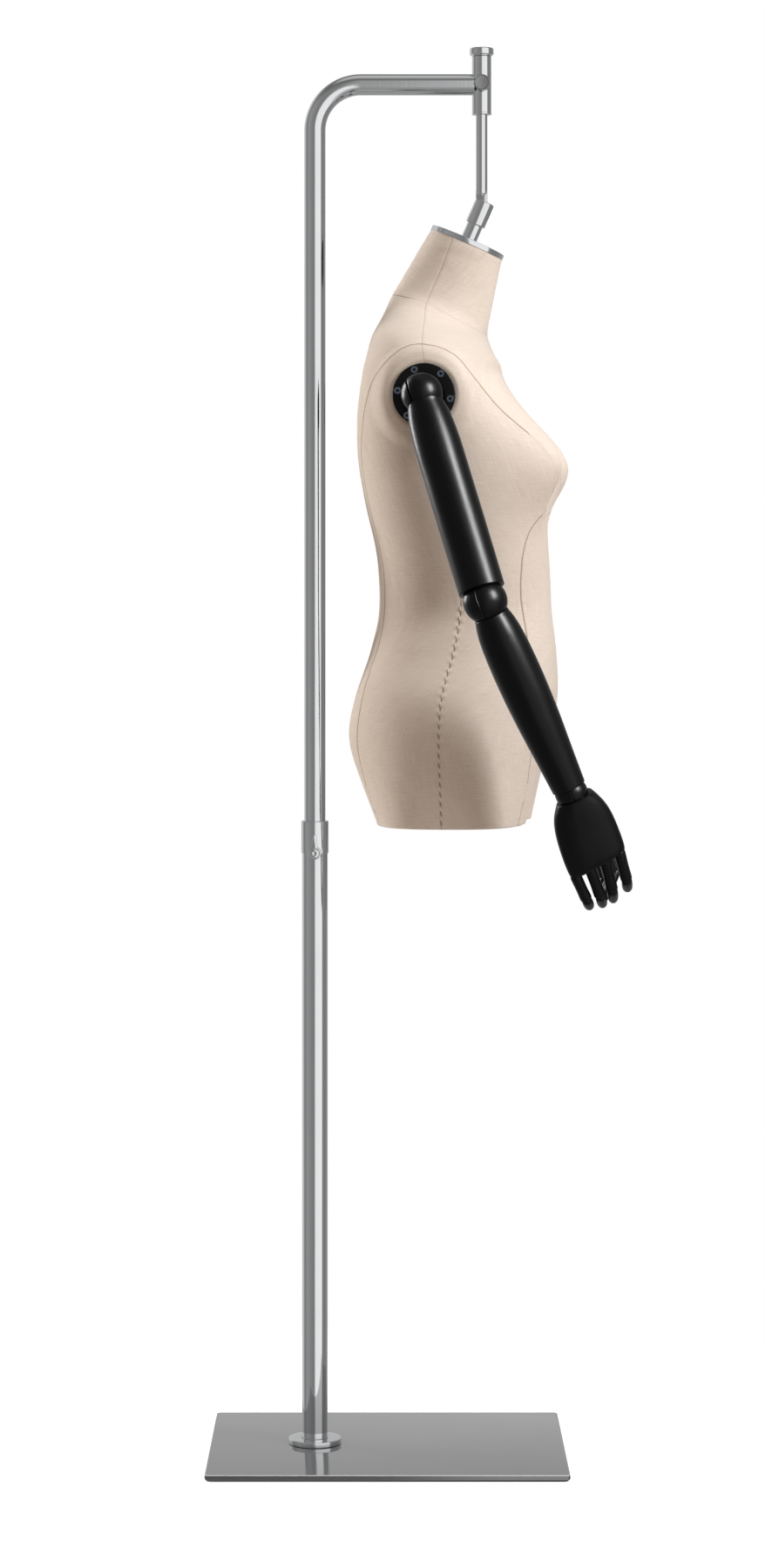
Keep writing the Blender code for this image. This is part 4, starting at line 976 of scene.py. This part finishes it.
def cover_grid(spacing, around):
    """The form's points, the cloth's points on them from the neck's top to the lower edge, and the seams."""
    positions = level_positions(spacing)
    angles = np.arange(around) * 2 * math.pi / around
    grid = torso_surface(positions, angles, 0.0)
    points = grid.reshape(-1, 3)
    seams = seam_distances(points, grid)
    relief = cover_relief(points, seams).reshape(grid.shape[:2])
    shaped = grid + normals_of(grid) * relief[..., None]
    return grid, shaped, seams


def add_hem(shaped, seams, around):
    """Adds rings that turn the cloth in over the neck's top and under the lower edge."""
    top_centre = shaped[0].mean(axis=0)
    bottom_centre = shaped[-1].mean(axis=0)
    lean = math.radians(NECK_TILT)
    up = np.array([math.sin(lean), 0, math.cos(lean)])
    top = []
    for share, rise in ((0.80, 0.0002), (0.93, 0.0003), (0.975, 0.0001)):
        top.append(top_centre + (shaped[0] - top_centre) * share + up * rise)
    bottom = []
    angles = np.arange(around) * 2 * math.pi / around
    turned_in = ((0.0005, 0.0008), (0.0016, 0.0012), (0.0060, 0.0011), (0.0120, 0.0009), (0.0150, 0.0007))
    for distance, drop in turned_in:
        inward = bottom_centre - shaped[-1]
        inward = inward / np.linalg.norm(inward, axis=1, keepdims=True)
        gather = 0.00035 * np.sin(angles * 60) * (distance > 0.002)
        ring = shaped[-1] + inward * distance
        ring[:, 2] = shaped[-1][:, 2] - drop + gather * 0.5
        bottom.append(ring)
    grid = np.concatenate([np.array(top), shaped, np.array(bottom)])
    extended = {}
    for name, values in seams.items():
        rows = values.reshape(shaped.shape[:2])
        extended[name] = np.concatenate([
            np.repeat(rows[:1], len(top), 0), rows, np.repeat(rows[-1:], len(bottom), 0),
        ]).ravel()
    return grid, extended


def grid_mesh(name, grid, keep=None):
    """A mesh of quads over a grid that closes on itself around, without the faces that keep leaves out."""
    rows, around = grid.shape[:2]
    i = np.arange(rows - 1)[:, None]
    j = np.arange(around)[None, :]
    k = (j + 1) % around
    quads = np.stack([i * around + j, (i + 1) * around + j, (i + 1) * around + k, i * around + k], axis=-1)
    quads = quads.reshape(-1, 4)
    points = grid.reshape(-1, 3)
    if keep is not None:
        quads = quads[keep(points[quads].mean(axis=1))]
    mesh = bpy.data.meshes.new(name)
    mesh.from_pydata(points.tolist(), [], quads.tolist())
    return mesh, quads


def cloth_grain(grid):
    """Each point's place on the cloth, in metres: round the body from its side, and along it."""
    closed = np.concatenate([grid, grid[:, :1]], axis=1)
    widths = np.linalg.norm(np.diff(closed, axis=1), axis=2)
    across = np.concatenate([np.zeros((len(grid), 1)), np.cumsum(widths, axis=1)], axis=1)
    around = grid.shape[1]
    quarter = around // 4
    across = across - across[:, quarter:quarter + 1]
    steps = np.linalg.norm(np.diff(closed, axis=0), axis=2)
    along = np.concatenate([np.zeros((1, around + 1)), -np.cumsum(steps, axis=0)], axis=0)
    middle = along[:, quarter:quarter + 1]
    return across, 0.35 * along + 0.65 * middle


def add_cloth_map(mesh, quads, grid, around):
    across, along = cloth_grain(grid)
    rows = quads // around
    columns = quads % around
    wraps = (columns.max(axis=1) - columns.min(axis=1)) > around / 2
    columns = np.where(wraps[:, None] & (columns == 0), around, columns)
    values = np.stack([across[rows, columns], along[rows, columns]], axis=-1).reshape(-1)
    layer = mesh.uv_layers.new(name="cloth")
    layer.data.foreach_set("uv", values.astype(np.float32))


def outside_armholes(centres):
    reach = np.hypot(centres[:, 0] - SHOULDER_X, centres[:, 2] - SHOULDER_HEIGHT)
    return (reach > ARMHOLE_RADIUS) | (np.abs(centres[:, 1]) < FLANK)


def make_torso(torso):
    around = 420
    plain, shaped, seams = cover_grid(0.0022, around)
    grid, seams = add_hem(shaped, seams, around)
    mesh, quads = grid_mesh("cover", grid, outside_armholes)
    add_cloth_map(mesh, quads, grid, around)
    for name, values in seams.items():
        layer = mesh.attributes.new(name, "FLOAT", "POINT")
        layer.data.foreach_set("value", values.astype(np.float32))
    cover = mesh_piece("cover", mesh, "linen", "torso", "torso_cover", torso, 60)
    thickness = cover.modifiers.new("thickness", "SOLIDIFY")
    thickness.thickness = CLOTH
    thickness.offset = -1

    low = level_positions(0.006)
    inner_angles = np.arange(144) * 2 * math.pi / 144
    outer = torso_surface(low, inner_angles, SHELL_OUTSIDE)
    inner = torso_surface(low, inner_angles, SHELL_INSIDE)
    stacked = np.concatenate([outer, inner[::-1], outer[:1]])
    mesh, _ = grid_mesh("shell", stacked, outside_armholes)
    shell = mesh_piece("shell", mesh, "shell", "torso", "torso_shell", torso, 60)

    outline = torso_surface(np.array([len(SECTIONS) - 1.0]), inner_angles, BOARD_INSET)[0]
    rings = []
    centre = outline.mean(axis=0)
    edge = 0.0004
    for inset, z in ((edge, 0.0), (0.0, edge), (0.0, BOARD_THICK - edge), (edge, BOARD_THICK)):
        ring = centre + (outline - centre) * (1 - inset / 0.08)
        rings.append([Vector((x, y, TORSO_BOTTOM + GAP + z)) for x, y, _ in ring])
    board = piece("lower_board", rings_mesh(rings), "timber", "torso", "torso_board", torso)
    for unseen_in_chrome in (cover, shell, board):
        unseen_in_chrome.visible_glossy = False
    return plain


def stitch_mesh(start, end, out):
    """One hand stitch: a thread that rises out of the cloth at start and goes back in at end."""
    rings = []
    along = end - start
    across = along.cross(out).normalized()
    steps = 8
    for i in range(steps + 1):
        t = i / steps
        rise = math.sin(math.pi * t)
        centre = start + along * t + out * (0.00065 * rise - 0.0001)
        radius = THREAD_RADIUS * (0.45 + 0.55 * rise)
        upwards = (out + along.normalized() * math.cos(math.pi * t) * 0.6).normalized()
        ring = []
        for k in range(6):
            angle = math.pi * k / 3
            ring.append(centre + across * radius * math.cos(angle) + upwards * radius * math.sin(angle))
        rings.append(ring)
    return rings_mesh(rings)


def make_stitches(plain, torso):
    """The slanting hand stitches that close each side seam below the waist."""
    flat = resampled(SIDE_SEAM, 0.004)
    placed = on_surface(flat, plain)
    flat_points = plain.reshape(-1, 3)
    flat_normals = normals_of(plain).reshape(-1, 3)
    lengths = lengths_along(placed)
    first = np.interp(-STITCHED_BELOW, -flat[:, 1], lengths)
    last = np.interp(-TORSO_BOTTOM - 0.003, -flat[:, 1], lengths)
    for side, name in SIDES.items():
        made = []
        count = int((last - first) / STITCH_PITCH)
        for i in range(count):
            run = first + (i + 0.5) * STITCH_PITCH
            here = np.array([np.interp(run, lengths, placed[:, k]) for k in range(3)])
            there = np.array([np.interp(run + STITCH_LENGTH, lengths, placed[:, k]) for k in range(3)])
            nearest = np.argmin(((flat_points - here) ** 2).sum(axis=1))
            out = Vector(flat_normals[nearest])
            start, end = Vector(here), Vector(there)
            ahead = (end - start).normalized().cross(out).normalized() * STITCH_SLANT
            start, end = start - ahead, end + ahead
            flip = Vector((1, side, 1))
            made.append(stitch_mesh(start * flip, end * flip, out * flip))
        piece(f"{name}_side_stitches", merge(*made), "thread", "torso", None, torso)


# ---------------------------------------------------------------- shoulders


def make_ring(side, torso):
    name = SIDES[side]
    outwards = torso @ shift(SHOULDER_X, side * SHOULDER_SIDE, SHOULDER_HEIGHT) @ turn("X", -90 * side)
    face = ARMHOLE_SIDE + GAP - SHOULDER_SIDE
    top = face + RING_THICK
    ring = [(RING_RADIUS, face + 0.0004), (RING_RADIUS, top), (RING_HOLE + 0.0003, top),
            (RING_HOLE + 0.0003, -0.0300), (0.0060, -0.0300), (0.0060, -0.0400), (0.0240, -0.0400),
            (0.0240, face + 0.0004)]
    piece(f"{name}_ring", hollow(ring, 0.0011, 4), "lacquer", "torso", f"{name}_shoulder_ring", outwards)
    screws = []
    for i in range(6):
        angle = math.radians(-21 + 60 * i)
        x, up = SCREW_CIRCLE * math.sin(angle), SCREW_CIRCLE * math.cos(angle)
        screws.append(moved(screw_mesh(), shift(x, -side * up, top - 0.0005)))
    piece(f"{name}_ring_screws", merge(*screws), "screw", "torso", None, outwards, 30)


def screw_mesh():
    """A socket screw's head, sunk into the ring, with a hexagonal socket."""
    around = 48
    outline = [(0.0041, -0.0008), (0.0041, 0.0002), (0.0037, SCREW_FACE), (0.0023, SCREW_FACE)]
    rings = [circle(radius, z, around) for radius, z in outline]
    hexagon = []
    for i in range(around):
        angle = 2 * math.pi * i / around
        radius = SOCKET_RADIUS * math.cos(math.pi / 6) / math.cos((angle % (math.pi / 3)) - math.pi / 6)
        hexagon.append(Vector((radius * math.cos(angle), radius * math.sin(angle), SCREW_FACE)))
    rings.append(hexagon)
    rings.append([Vector((point.x, point.y, -0.0010)) for point in hexagon])
    rings.append([Vector((0, 0, -0.0012))])
    return rings_mesh(rings)


def ball_with_groove(radius, centre, half, depth):
    """A ball turned about X, with a groove round it at x = centre."""
    profile = []
    steps = 64
    for i in range(steps + 1):
        x = -radius * math.cos(math.pi * i / steps)
        if abs(x - centre) > half + 0.0006:
            across = radius * math.sin(math.pi * i / steps)
            profile.append((0 if across < 1e-6 else across, x))
    wall = []
    for x, sink in ((centre - half - 0.0003, 0.0), (centre - half, 0.0003), (centre - half, depth),
                    (centre + half, depth), (centre + half, 0.0003), (centre + half + 0.0003, 0.0)):
        wall.append((math.sqrt(radius ** 2 - x ** 2) - sink, x))
    profile = [p for p in profile if p[1] < centre] + wall + [p for p in profile if p[1] > centre]
    return moved(turned(profile, LIMB), turn("Y", 90))


# ---------------------------------------------------------------- arms


def limb_mesh(ball, rim, slant, outer, outline, end, end_radius, next_ball, next_distance, side):
    """A limb: a cup that hugs the ball above, a smooth shaft, and a cup over the ball below."""
    socket = ball + PLAY
    step = 2 * math.pi / LIMB
    outer_rim, crest, inner_rim, floor = [], [], [], []
    for i in range(LIMB):
        x, y = math.cos(i * step), math.sin(i * step)
        depth = rim - slant * side * y
        across = math.sqrt(socket ** 2 - depth ** 2)
        wide = max(outer, across + 0.0010)
        outer_rim.append(Vector((wide * x, wide * y, -depth - 0.0005)))
        middle = (wide + across) / 2
        crest.append(Vector((middle * x, middle * y, -depth + 0.0001)))
        inner_rim.append(Vector((across * x, across * y, -depth - 0.0001)))
        inner = 0.8 * across
        floor.append(Vector((inner * x, inner * y, -math.sqrt(socket ** 2 - inner ** 2))))
    rings = [[Vector((0, 0, -socket))], floor, inner_rim, crest, outer_rim]
    steps = 8
    rows = np.array(smooth_rows(outline, steps))
    joined = outline[2][0]
    for share in (0.08, 0.2, 0.35, 0.5, 0.65, 0.8, 0.92):
        ring = []
        for i, point in enumerate(outer_rim):
            depth = -point.z + (joined + point.z) * share
            radius = np.interp(depth, rows[:, 0], rows[:, 1])
            excess = math.hypot(point.x, point.y) - np.interp(-point.z, rows[:, 0], rows[:, 1])
            radius += excess * (1 - share) ** 2
            ring.append(Vector((radius * math.cos(i * step), radius * math.sin(i * step), -depth)))
        rings.append(ring)
    rings += [circle(radius, -distance, LIMB) for distance, radius in rows[2 * steps:]]
    below = next_ball + PLAY
    rise = next_distance - end
    inner = math.sqrt(below ** 2 - rise ** 2)
    rings.append(circle(end_radius, -end + 0.0004, LIMB))
    rings.append(circle(end_radius - 0.0005, -end, LIMB))
    rings.append(circle(inner + 0.0003, -end, LIMB))
    lip = math.degrees(math.acos(rise / below))
    rings += [circle(radius, z, LIMB) for radius, z in arc(below, -next_distance, 180 - lip, 180, 8)]
    return rings_mesh(rings)


def palm_ring(distance, centre, half_width, half_thick, slant, side):
    ring = []
    step = 2 * math.pi / LIMB
    for i in range(LIMB):
        cosine, sine = math.cos(i * step), math.sin(i * step)
        x = centre + math.copysign(half_width * abs(cosine) ** 0.88, cosine)
        y = math.copysign(half_thick * abs(sine) ** 0.88, sine) * side
        ring.append(Vector((x, y, -distance + slant * KNUCKLE_SLANT * x)))
    return ring


def palm_mesh(side):
    """The palm: a cup for the wrist's ball, a flattened body, and a groove along its end for the knuckles."""
    socket = WRIST_BALL + PLAY
    steps = 6
    rows = smooth_rows(PALM_ROWS, steps)
    rim = PALM_ROWS[0]
    cup = [(0, -socket)]
    for degrees in (35, 55, 68):
        angle = math.radians(degrees)
        cup.append((socket * math.sin(angle), -socket * math.cos(angle)))
    cup.append((math.sqrt(socket ** 2 - (rim[0] - 0.0004) ** 2), -rim[0] + 0.0004))
    rings = [[Vector((p.x, p.y * side, p.z)) for p in circle(radius, z, LIMB)] for radius, z in cup]
    rings.append(palm_ring(rim[0] - 0.0002, rim[1], rim[2] - 0.0005, rim[3] + 0.0008, 0.0, side))
    for index, row in enumerate(rows):
        if index == 0:
            row = (row[0] + 0.0004, row[1], row[2], row[3] + 0.0014)
        slant = float(smooth_step(np.array((index / steps - 2) / (len(PALM_ROWS) - 3))))
        rings.append(palm_ring(*row, slant, side))
    end = PALM_ROWS[-1]
    groove = FINGER_RADIUS + 0.0005
    rings.append(palm_ring(end[0] + 0.0009, end[1], end[2] - 0.0012, end[3] - 0.0010, 1.0, side))
    for degrees in (17, 35, 55, 75):
        angle = math.radians(degrees)
        distance = KNUCKLE_DISTANCE - groove * math.sin(angle)
        rings.append(palm_ring(distance, end[1], end[2] - 0.0024, groove * math.cos(angle), 1.0, side))
    return rings_mesh(rings)


def finger_near(length, radius, tip_ball):
    profile = arc(radius, 0, 180, 96, 8)
    profile += [
        (radius * 0.985, -length * 0.2),
        (radius * 0.965, -length * 0.4),
        (radius * 0.975, -length * 0.6),
        (radius * 1.01, -length * 0.78),
        (radius * 1.01, -length + 0.0034),
        (radius * 0.95, -length + 0.0024),
        (tip_ball * 0.90, -length + 0.0024),
        (tip_ball * 0.70, -length + tip_ball * 0.75),
        (0, -length + tip_ball + 0.0004),
    ]
    return turned(profile, 36)


def finger_tip(length, head):
    profile = arc(head, 0, 180, 96, 8)
    profile += [
        (head * 1.03, -length * 0.22),
        (head * 1.04, -length * 0.40),
        (head * 1.02, -length * 0.58),
        (head * 0.96, -length * 0.74),
        (head * 0.84, -length * 0.86),
        (head * 0.62, -length * 0.95),
        (head * 0.32, -length * 0.99),
        (0, -length),
    ]
    return turned(profile, 36)


def make_digit(side, name, nodes, place, radius, tip_ball, lengths, bend):
    """A finger or the thumb: the segment at the knuckle, and the one beyond the middle joint."""
    near, far = lengths
    piece(f"{name}_1", finger_near(near, radius, tip_ball), "lacquer", name, nodes[0], place)
    middle = place @ shift(0, 0, -near) @ turn("X", -side * bend)
    piece(f"{name}_2", finger_tip(far, tip_ball), "lacquer", f"{name}_end", nodes[1], middle)


def make_fingers(side, hand):
    for finger, (x, lean, near, far) in FINGERS.items():
        base = hand @ shift(x, 0, -KNUCKLE_DISTANCE + KNUCKLE_SLANT * x)
        knuckle = base @ turn("Y", lean) @ turn("X", -side * KNUCKLE_BEND)
        name = f"{SIDES[side]}_{finger}"
        make_digit(side, name, (f"{name}_finger", f"{name}_tip"), knuckle, FINGER_RADIUS, TIP_BALL,
                   (near, far), MIDDLE_BEND)
    x, inner, down = THUMB_PLACE
    base = hand @ shift(x, -side * inner, -down) @ turn("Y", THUMB_LEAN) @ turn("X", -side * THUMB_OUT)
    name = f"{SIDES[side]}_thumb"
    make_digit(side, name, (name, f"{name}_tip"), base, THUMB_RADIUS, THUMB_TIP_BALL, THUMB_LENGTHS,
               THUMB_BEND)


def make_arm(side, torso):
    name = SIDES[side]
    make_ring(side, torso)
    swing = torso @ shift(SHOULDER_X, side * SHOULDER_SIDE, SHOULDER_HEIGHT)
    swung = swing @ turn("Y", -SHOULDER_SWING[side])
    upper = swung @ turn("X", side * SHOULDER_LIFT[side])
    twist = upper @ shift(0, 0, -UPPER_ARM_LENGTH) @ turn("Z", side * ELBOW_TWIST[side])
    elbow = twist @ turn("X", -side * ELBOW_BEND[side])
    wrist = elbow @ shift(0, 0, -FOREARM_LENGTH) @ turn("Z", side * WRIST_TWIST[side])
    hand = wrist @ turn("X", -side * WRIST_BEND[side])
    upper_arm = limb_mesh(SHOULDER_BALL, 0.0150, 0.0045, 0.0206, UPPER_ARM_OUTLINE, UPPER_ARM_END, 0.0252,
                          ELBOW_BALL, UPPER_ARM_LENGTH, side)
    forearm = limb_mesh(ELBOW_BALL, 0.0160, 0.0, 0.0186, FOREARM_OUTLINE, FOREARM_END, 0.0185,
                        WRIST_BALL, FOREARM_LENGTH, side)
    shoulder_ball = ball_with_groove(SHOULDER_BALL, SHOULDER_SLOT_X, 0.0011, 0.005)
    parts = [
        ("ball_1", shoulder_ball, "shoulder", "shoulder_ball", swung),
        ("arm_upper", upper_arm, "upper_arm", "upper_arm", upper),
        ("ball_2", ball_with_groove(ELBOW_BALL, 0.0, 0.00035, 0.0012), "elbow", "elbow_ball", twist),
        ("arm_lower", forearm, "forearm", "forearm", elbow),
        ("ball_3", ball_with_groove(WRIST_BALL, 0.0, 0.00035, 0.0010), "wrist", "wrist_ball", wrist),
        ("hand_palm", palm_mesh(side), "hand", "palm", hand),
    ]
    for part, builder, body, node, place in parts:
        piece(f"{name}_{part}", builder, "lacquer", f"{name}_{body}", f"{name}_{node}", place)
    make_fingers(side, hand)


# ---------------------------------------------------------------- light and camera


# Brightness of the studio seen in chrome: (share of the way round, or of the way up; grey)
ROUND_THE_STUDIO = [
    (0.0, 0.52), (0.150, 0.66), (0.195, 0.30), (0.215, 0.22), (0.300, 0.33), (0.420, 0.25), (0.470, 0.22),
    (0.500, 0.34), (0.514, 0.95), (0.680, 1.00), (0.705, 0.24), (0.800, 0.22), (0.870, 0.30), (0.940, 0.44),
    (1.0, 0.52),
]
UP_THE_STUDIO = [
    (0.0, 0.42), (0.05, 0.34), (0.15, 0.30), (0.30, 0.24), (0.50, 0.28), (0.70, 0.26), (0.86, 0.16),
    (0.93, 0.16), (0.97, 0.45), (1.0, 0.55),
]


def make_world():
    """A soft studio all round: bright panels to the left and the right of the camera, greys between them."""
    world = bpy.data.worlds.new("studio")
    bpy.context.scene.world = world
    world.use_nodes = True
    made = Nodes(world.node_tree)
    x, y, z = made.split(made.add("ShaderNodeTexCoord", {}, "Generated"))
    azimuth = made.sum("ARCTAN2", x, made.sum("MULTIPLY", y, -1.0))
    round_it = made.ramp(made.fade(azimuth, -math.pi, math.pi, 0.0, 1.0), ROUND_THE_STUDIO)
    height = made.fade(z, -1.0, 1.0, 0.0, 1.0)
    level = made.ramp(height, [(0.0, 0.0), (0.12, 0.0), (0.28, 1.0), (0.74, 1.0), (0.90, 0.0), (1.0, 0.0)])
    parts = {0: level, 2: made.ramp(height, UP_THE_STUDIO), 3: round_it}
    joined = made.add("ShaderNodeMix", parts, data_type="FLOAT")
    ray = made.add("ShaderNodeLightPath", {}).node.outputs
    soft = made.mix(ray["Is Diffuse Ray"], joined, (0.355, 0.302, 0.260))
    shown = made.mix(ray["Is Camera Ray"], soft, (1, 1, 1))
    made.feed(made.tree.nodes["Background"].inputs["Color"], shown)


FABRIC = "soft light"  # kinds of softbox
LACQUER = "highlights"


def softbox(name, place, target, width, height, power, kind, tint=(1.0, 1.0, 1.0)):
    """A softbox that either lights matt surfaces only, or only shows as a highlight on the lacquer."""
    data = bpy.data.lights.new(name, "AREA")
    data.shape = "RECTANGLE"
    data.size = width
    data.size_y = height
    data.energy = power
    data.color = tint
    made = bpy.data.objects.new(name, data)
    bpy.context.scene.collection.objects.link(made)
    made.location = place
    made.rotation_euler = (Vector(target) - Vector(place)).to_track_quat("-Z", "Y").to_euler()
    if kind == FABRIC:
        made.visible_glossy = False
    else:
        made.visible_diffuse = False
        made.light_linking.receiver_collection = lacquered


def make_floor():
    builder = bmesh.new()
    bmesh.ops.create_grid(builder, x_segments=8, y_segments=8, size=14.0)
    mesh = bpy.data.meshes.new("floor")
    builder.to_mesh(mesh)
    builder.free()
    made = Shader("studio_floor")
    place = made.place()
    grain = made.noise(place, 3.0, 4.0)
    base = made.blend(grain, 0.3, 0.7, (0.88, 0.88, 0.88), (0.91, 0.91, 0.91))
    reach = made.add("ShaderNodeVectorMath", {0: place}, 1, operation="LENGTH")
    made.set(Base_Color=base, Roughness=0.7, Emission_Color=(1, 1, 1), Emission_Strength=0.55,
             Alpha=made.fade(reach, 0.35, 0.75, 1.0, 0.0, True))
    made.bump(made.sum("MULTIPLY", grain, 0.00005))
    mesh.materials.append(made.material)
    floor = bpy.data.objects.new("floor", mesh)
    bpy.context.scene.collection.objects.link(floor)
    floor.location = (0, 0, -0.0003)
    floor.visible_glossy = False


def make_camera():
    data = bpy.data.cameras.new("camera")
    data.lens = 81.74
    data.sensor_width = 36.0
    data.shift_y = -0.1212
    camera = bpy.data.objects.new("camera", data)
    bpy.context.scene.collection.objects.link(camera)
    camera.location = (-0.0054, -4.036, 0.9695)
    camera.rotation_euler = (math.radians(90), 0, 0)
    bpy.context.scene.camera = camera


def make_studio():
    make_camera()
    make_floor()
    make_world()
    softbox("key", (2.05, -1.15, 2.25), (0.05, 0.0, 1.10), 0.8, 1.5, 64.0, FABRIC, (0.93, 0.96, 1.0))
    softbox("side", (-1.87, 0.83, 1.30), (-0.03, 0.0, 1.0), 0.8, 1.9, 40.0, FABRIC)
    softbox("top", (0.2, -0.4, 3.3), (0.05, 0.0, 1.2), 1.6, 1.6, 23.0, FABRIC, (0.86, 0.93, 1.0))
    softbox("shine", (1.75, -1.60, 2.40), (0.05, 0.0, 1.15), 0.85, 1.5, 235.0, LACQUER)
    softbox("edge_shine", (-1.45, 1.05, 1.65), (-0.03, 0.0, 1.1), 0.45, 1.5, 42.0, LACQUER)
    bpy.context.scene.view_settings.view_transform = "Standard"


# ---------------------------------------------------------------- assembly

INNER_NODES = {
    "base_pad": "pad",
    "post_bolt": "steel",
    "post_plug": "steel",
    "guide_bush": "nylon",
    "glide_plug": "nylon",
    "pivot_pin": "steel",
    "neck_block": "timber",
    "left_shoulder_nut": "steel",
    "right_shoulder_nut": "steel",
}

looks = make_materials()
lacquered = bpy.data.collections.new("lacquered")
for node, look in INNER_NODES.items():
    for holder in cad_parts[node].material_slots:
        holder.material = looks[look]
make_stand()
make_mast()
swivel = shift(HANGER_X, 0, 0) @ turn("Z", TORSO_YAW)
make_rod(swivel)
make_neck(swivel @ shift(0, 0, PIVOT_HEIGHT) @ turn("Y", NECK_TILT))
plain_surface = make_torso(swivel)
make_stitches(plain_surface, swivel)
for arm_side in SIDES:
    make_arm(arm_side, swivel)
make_studio()
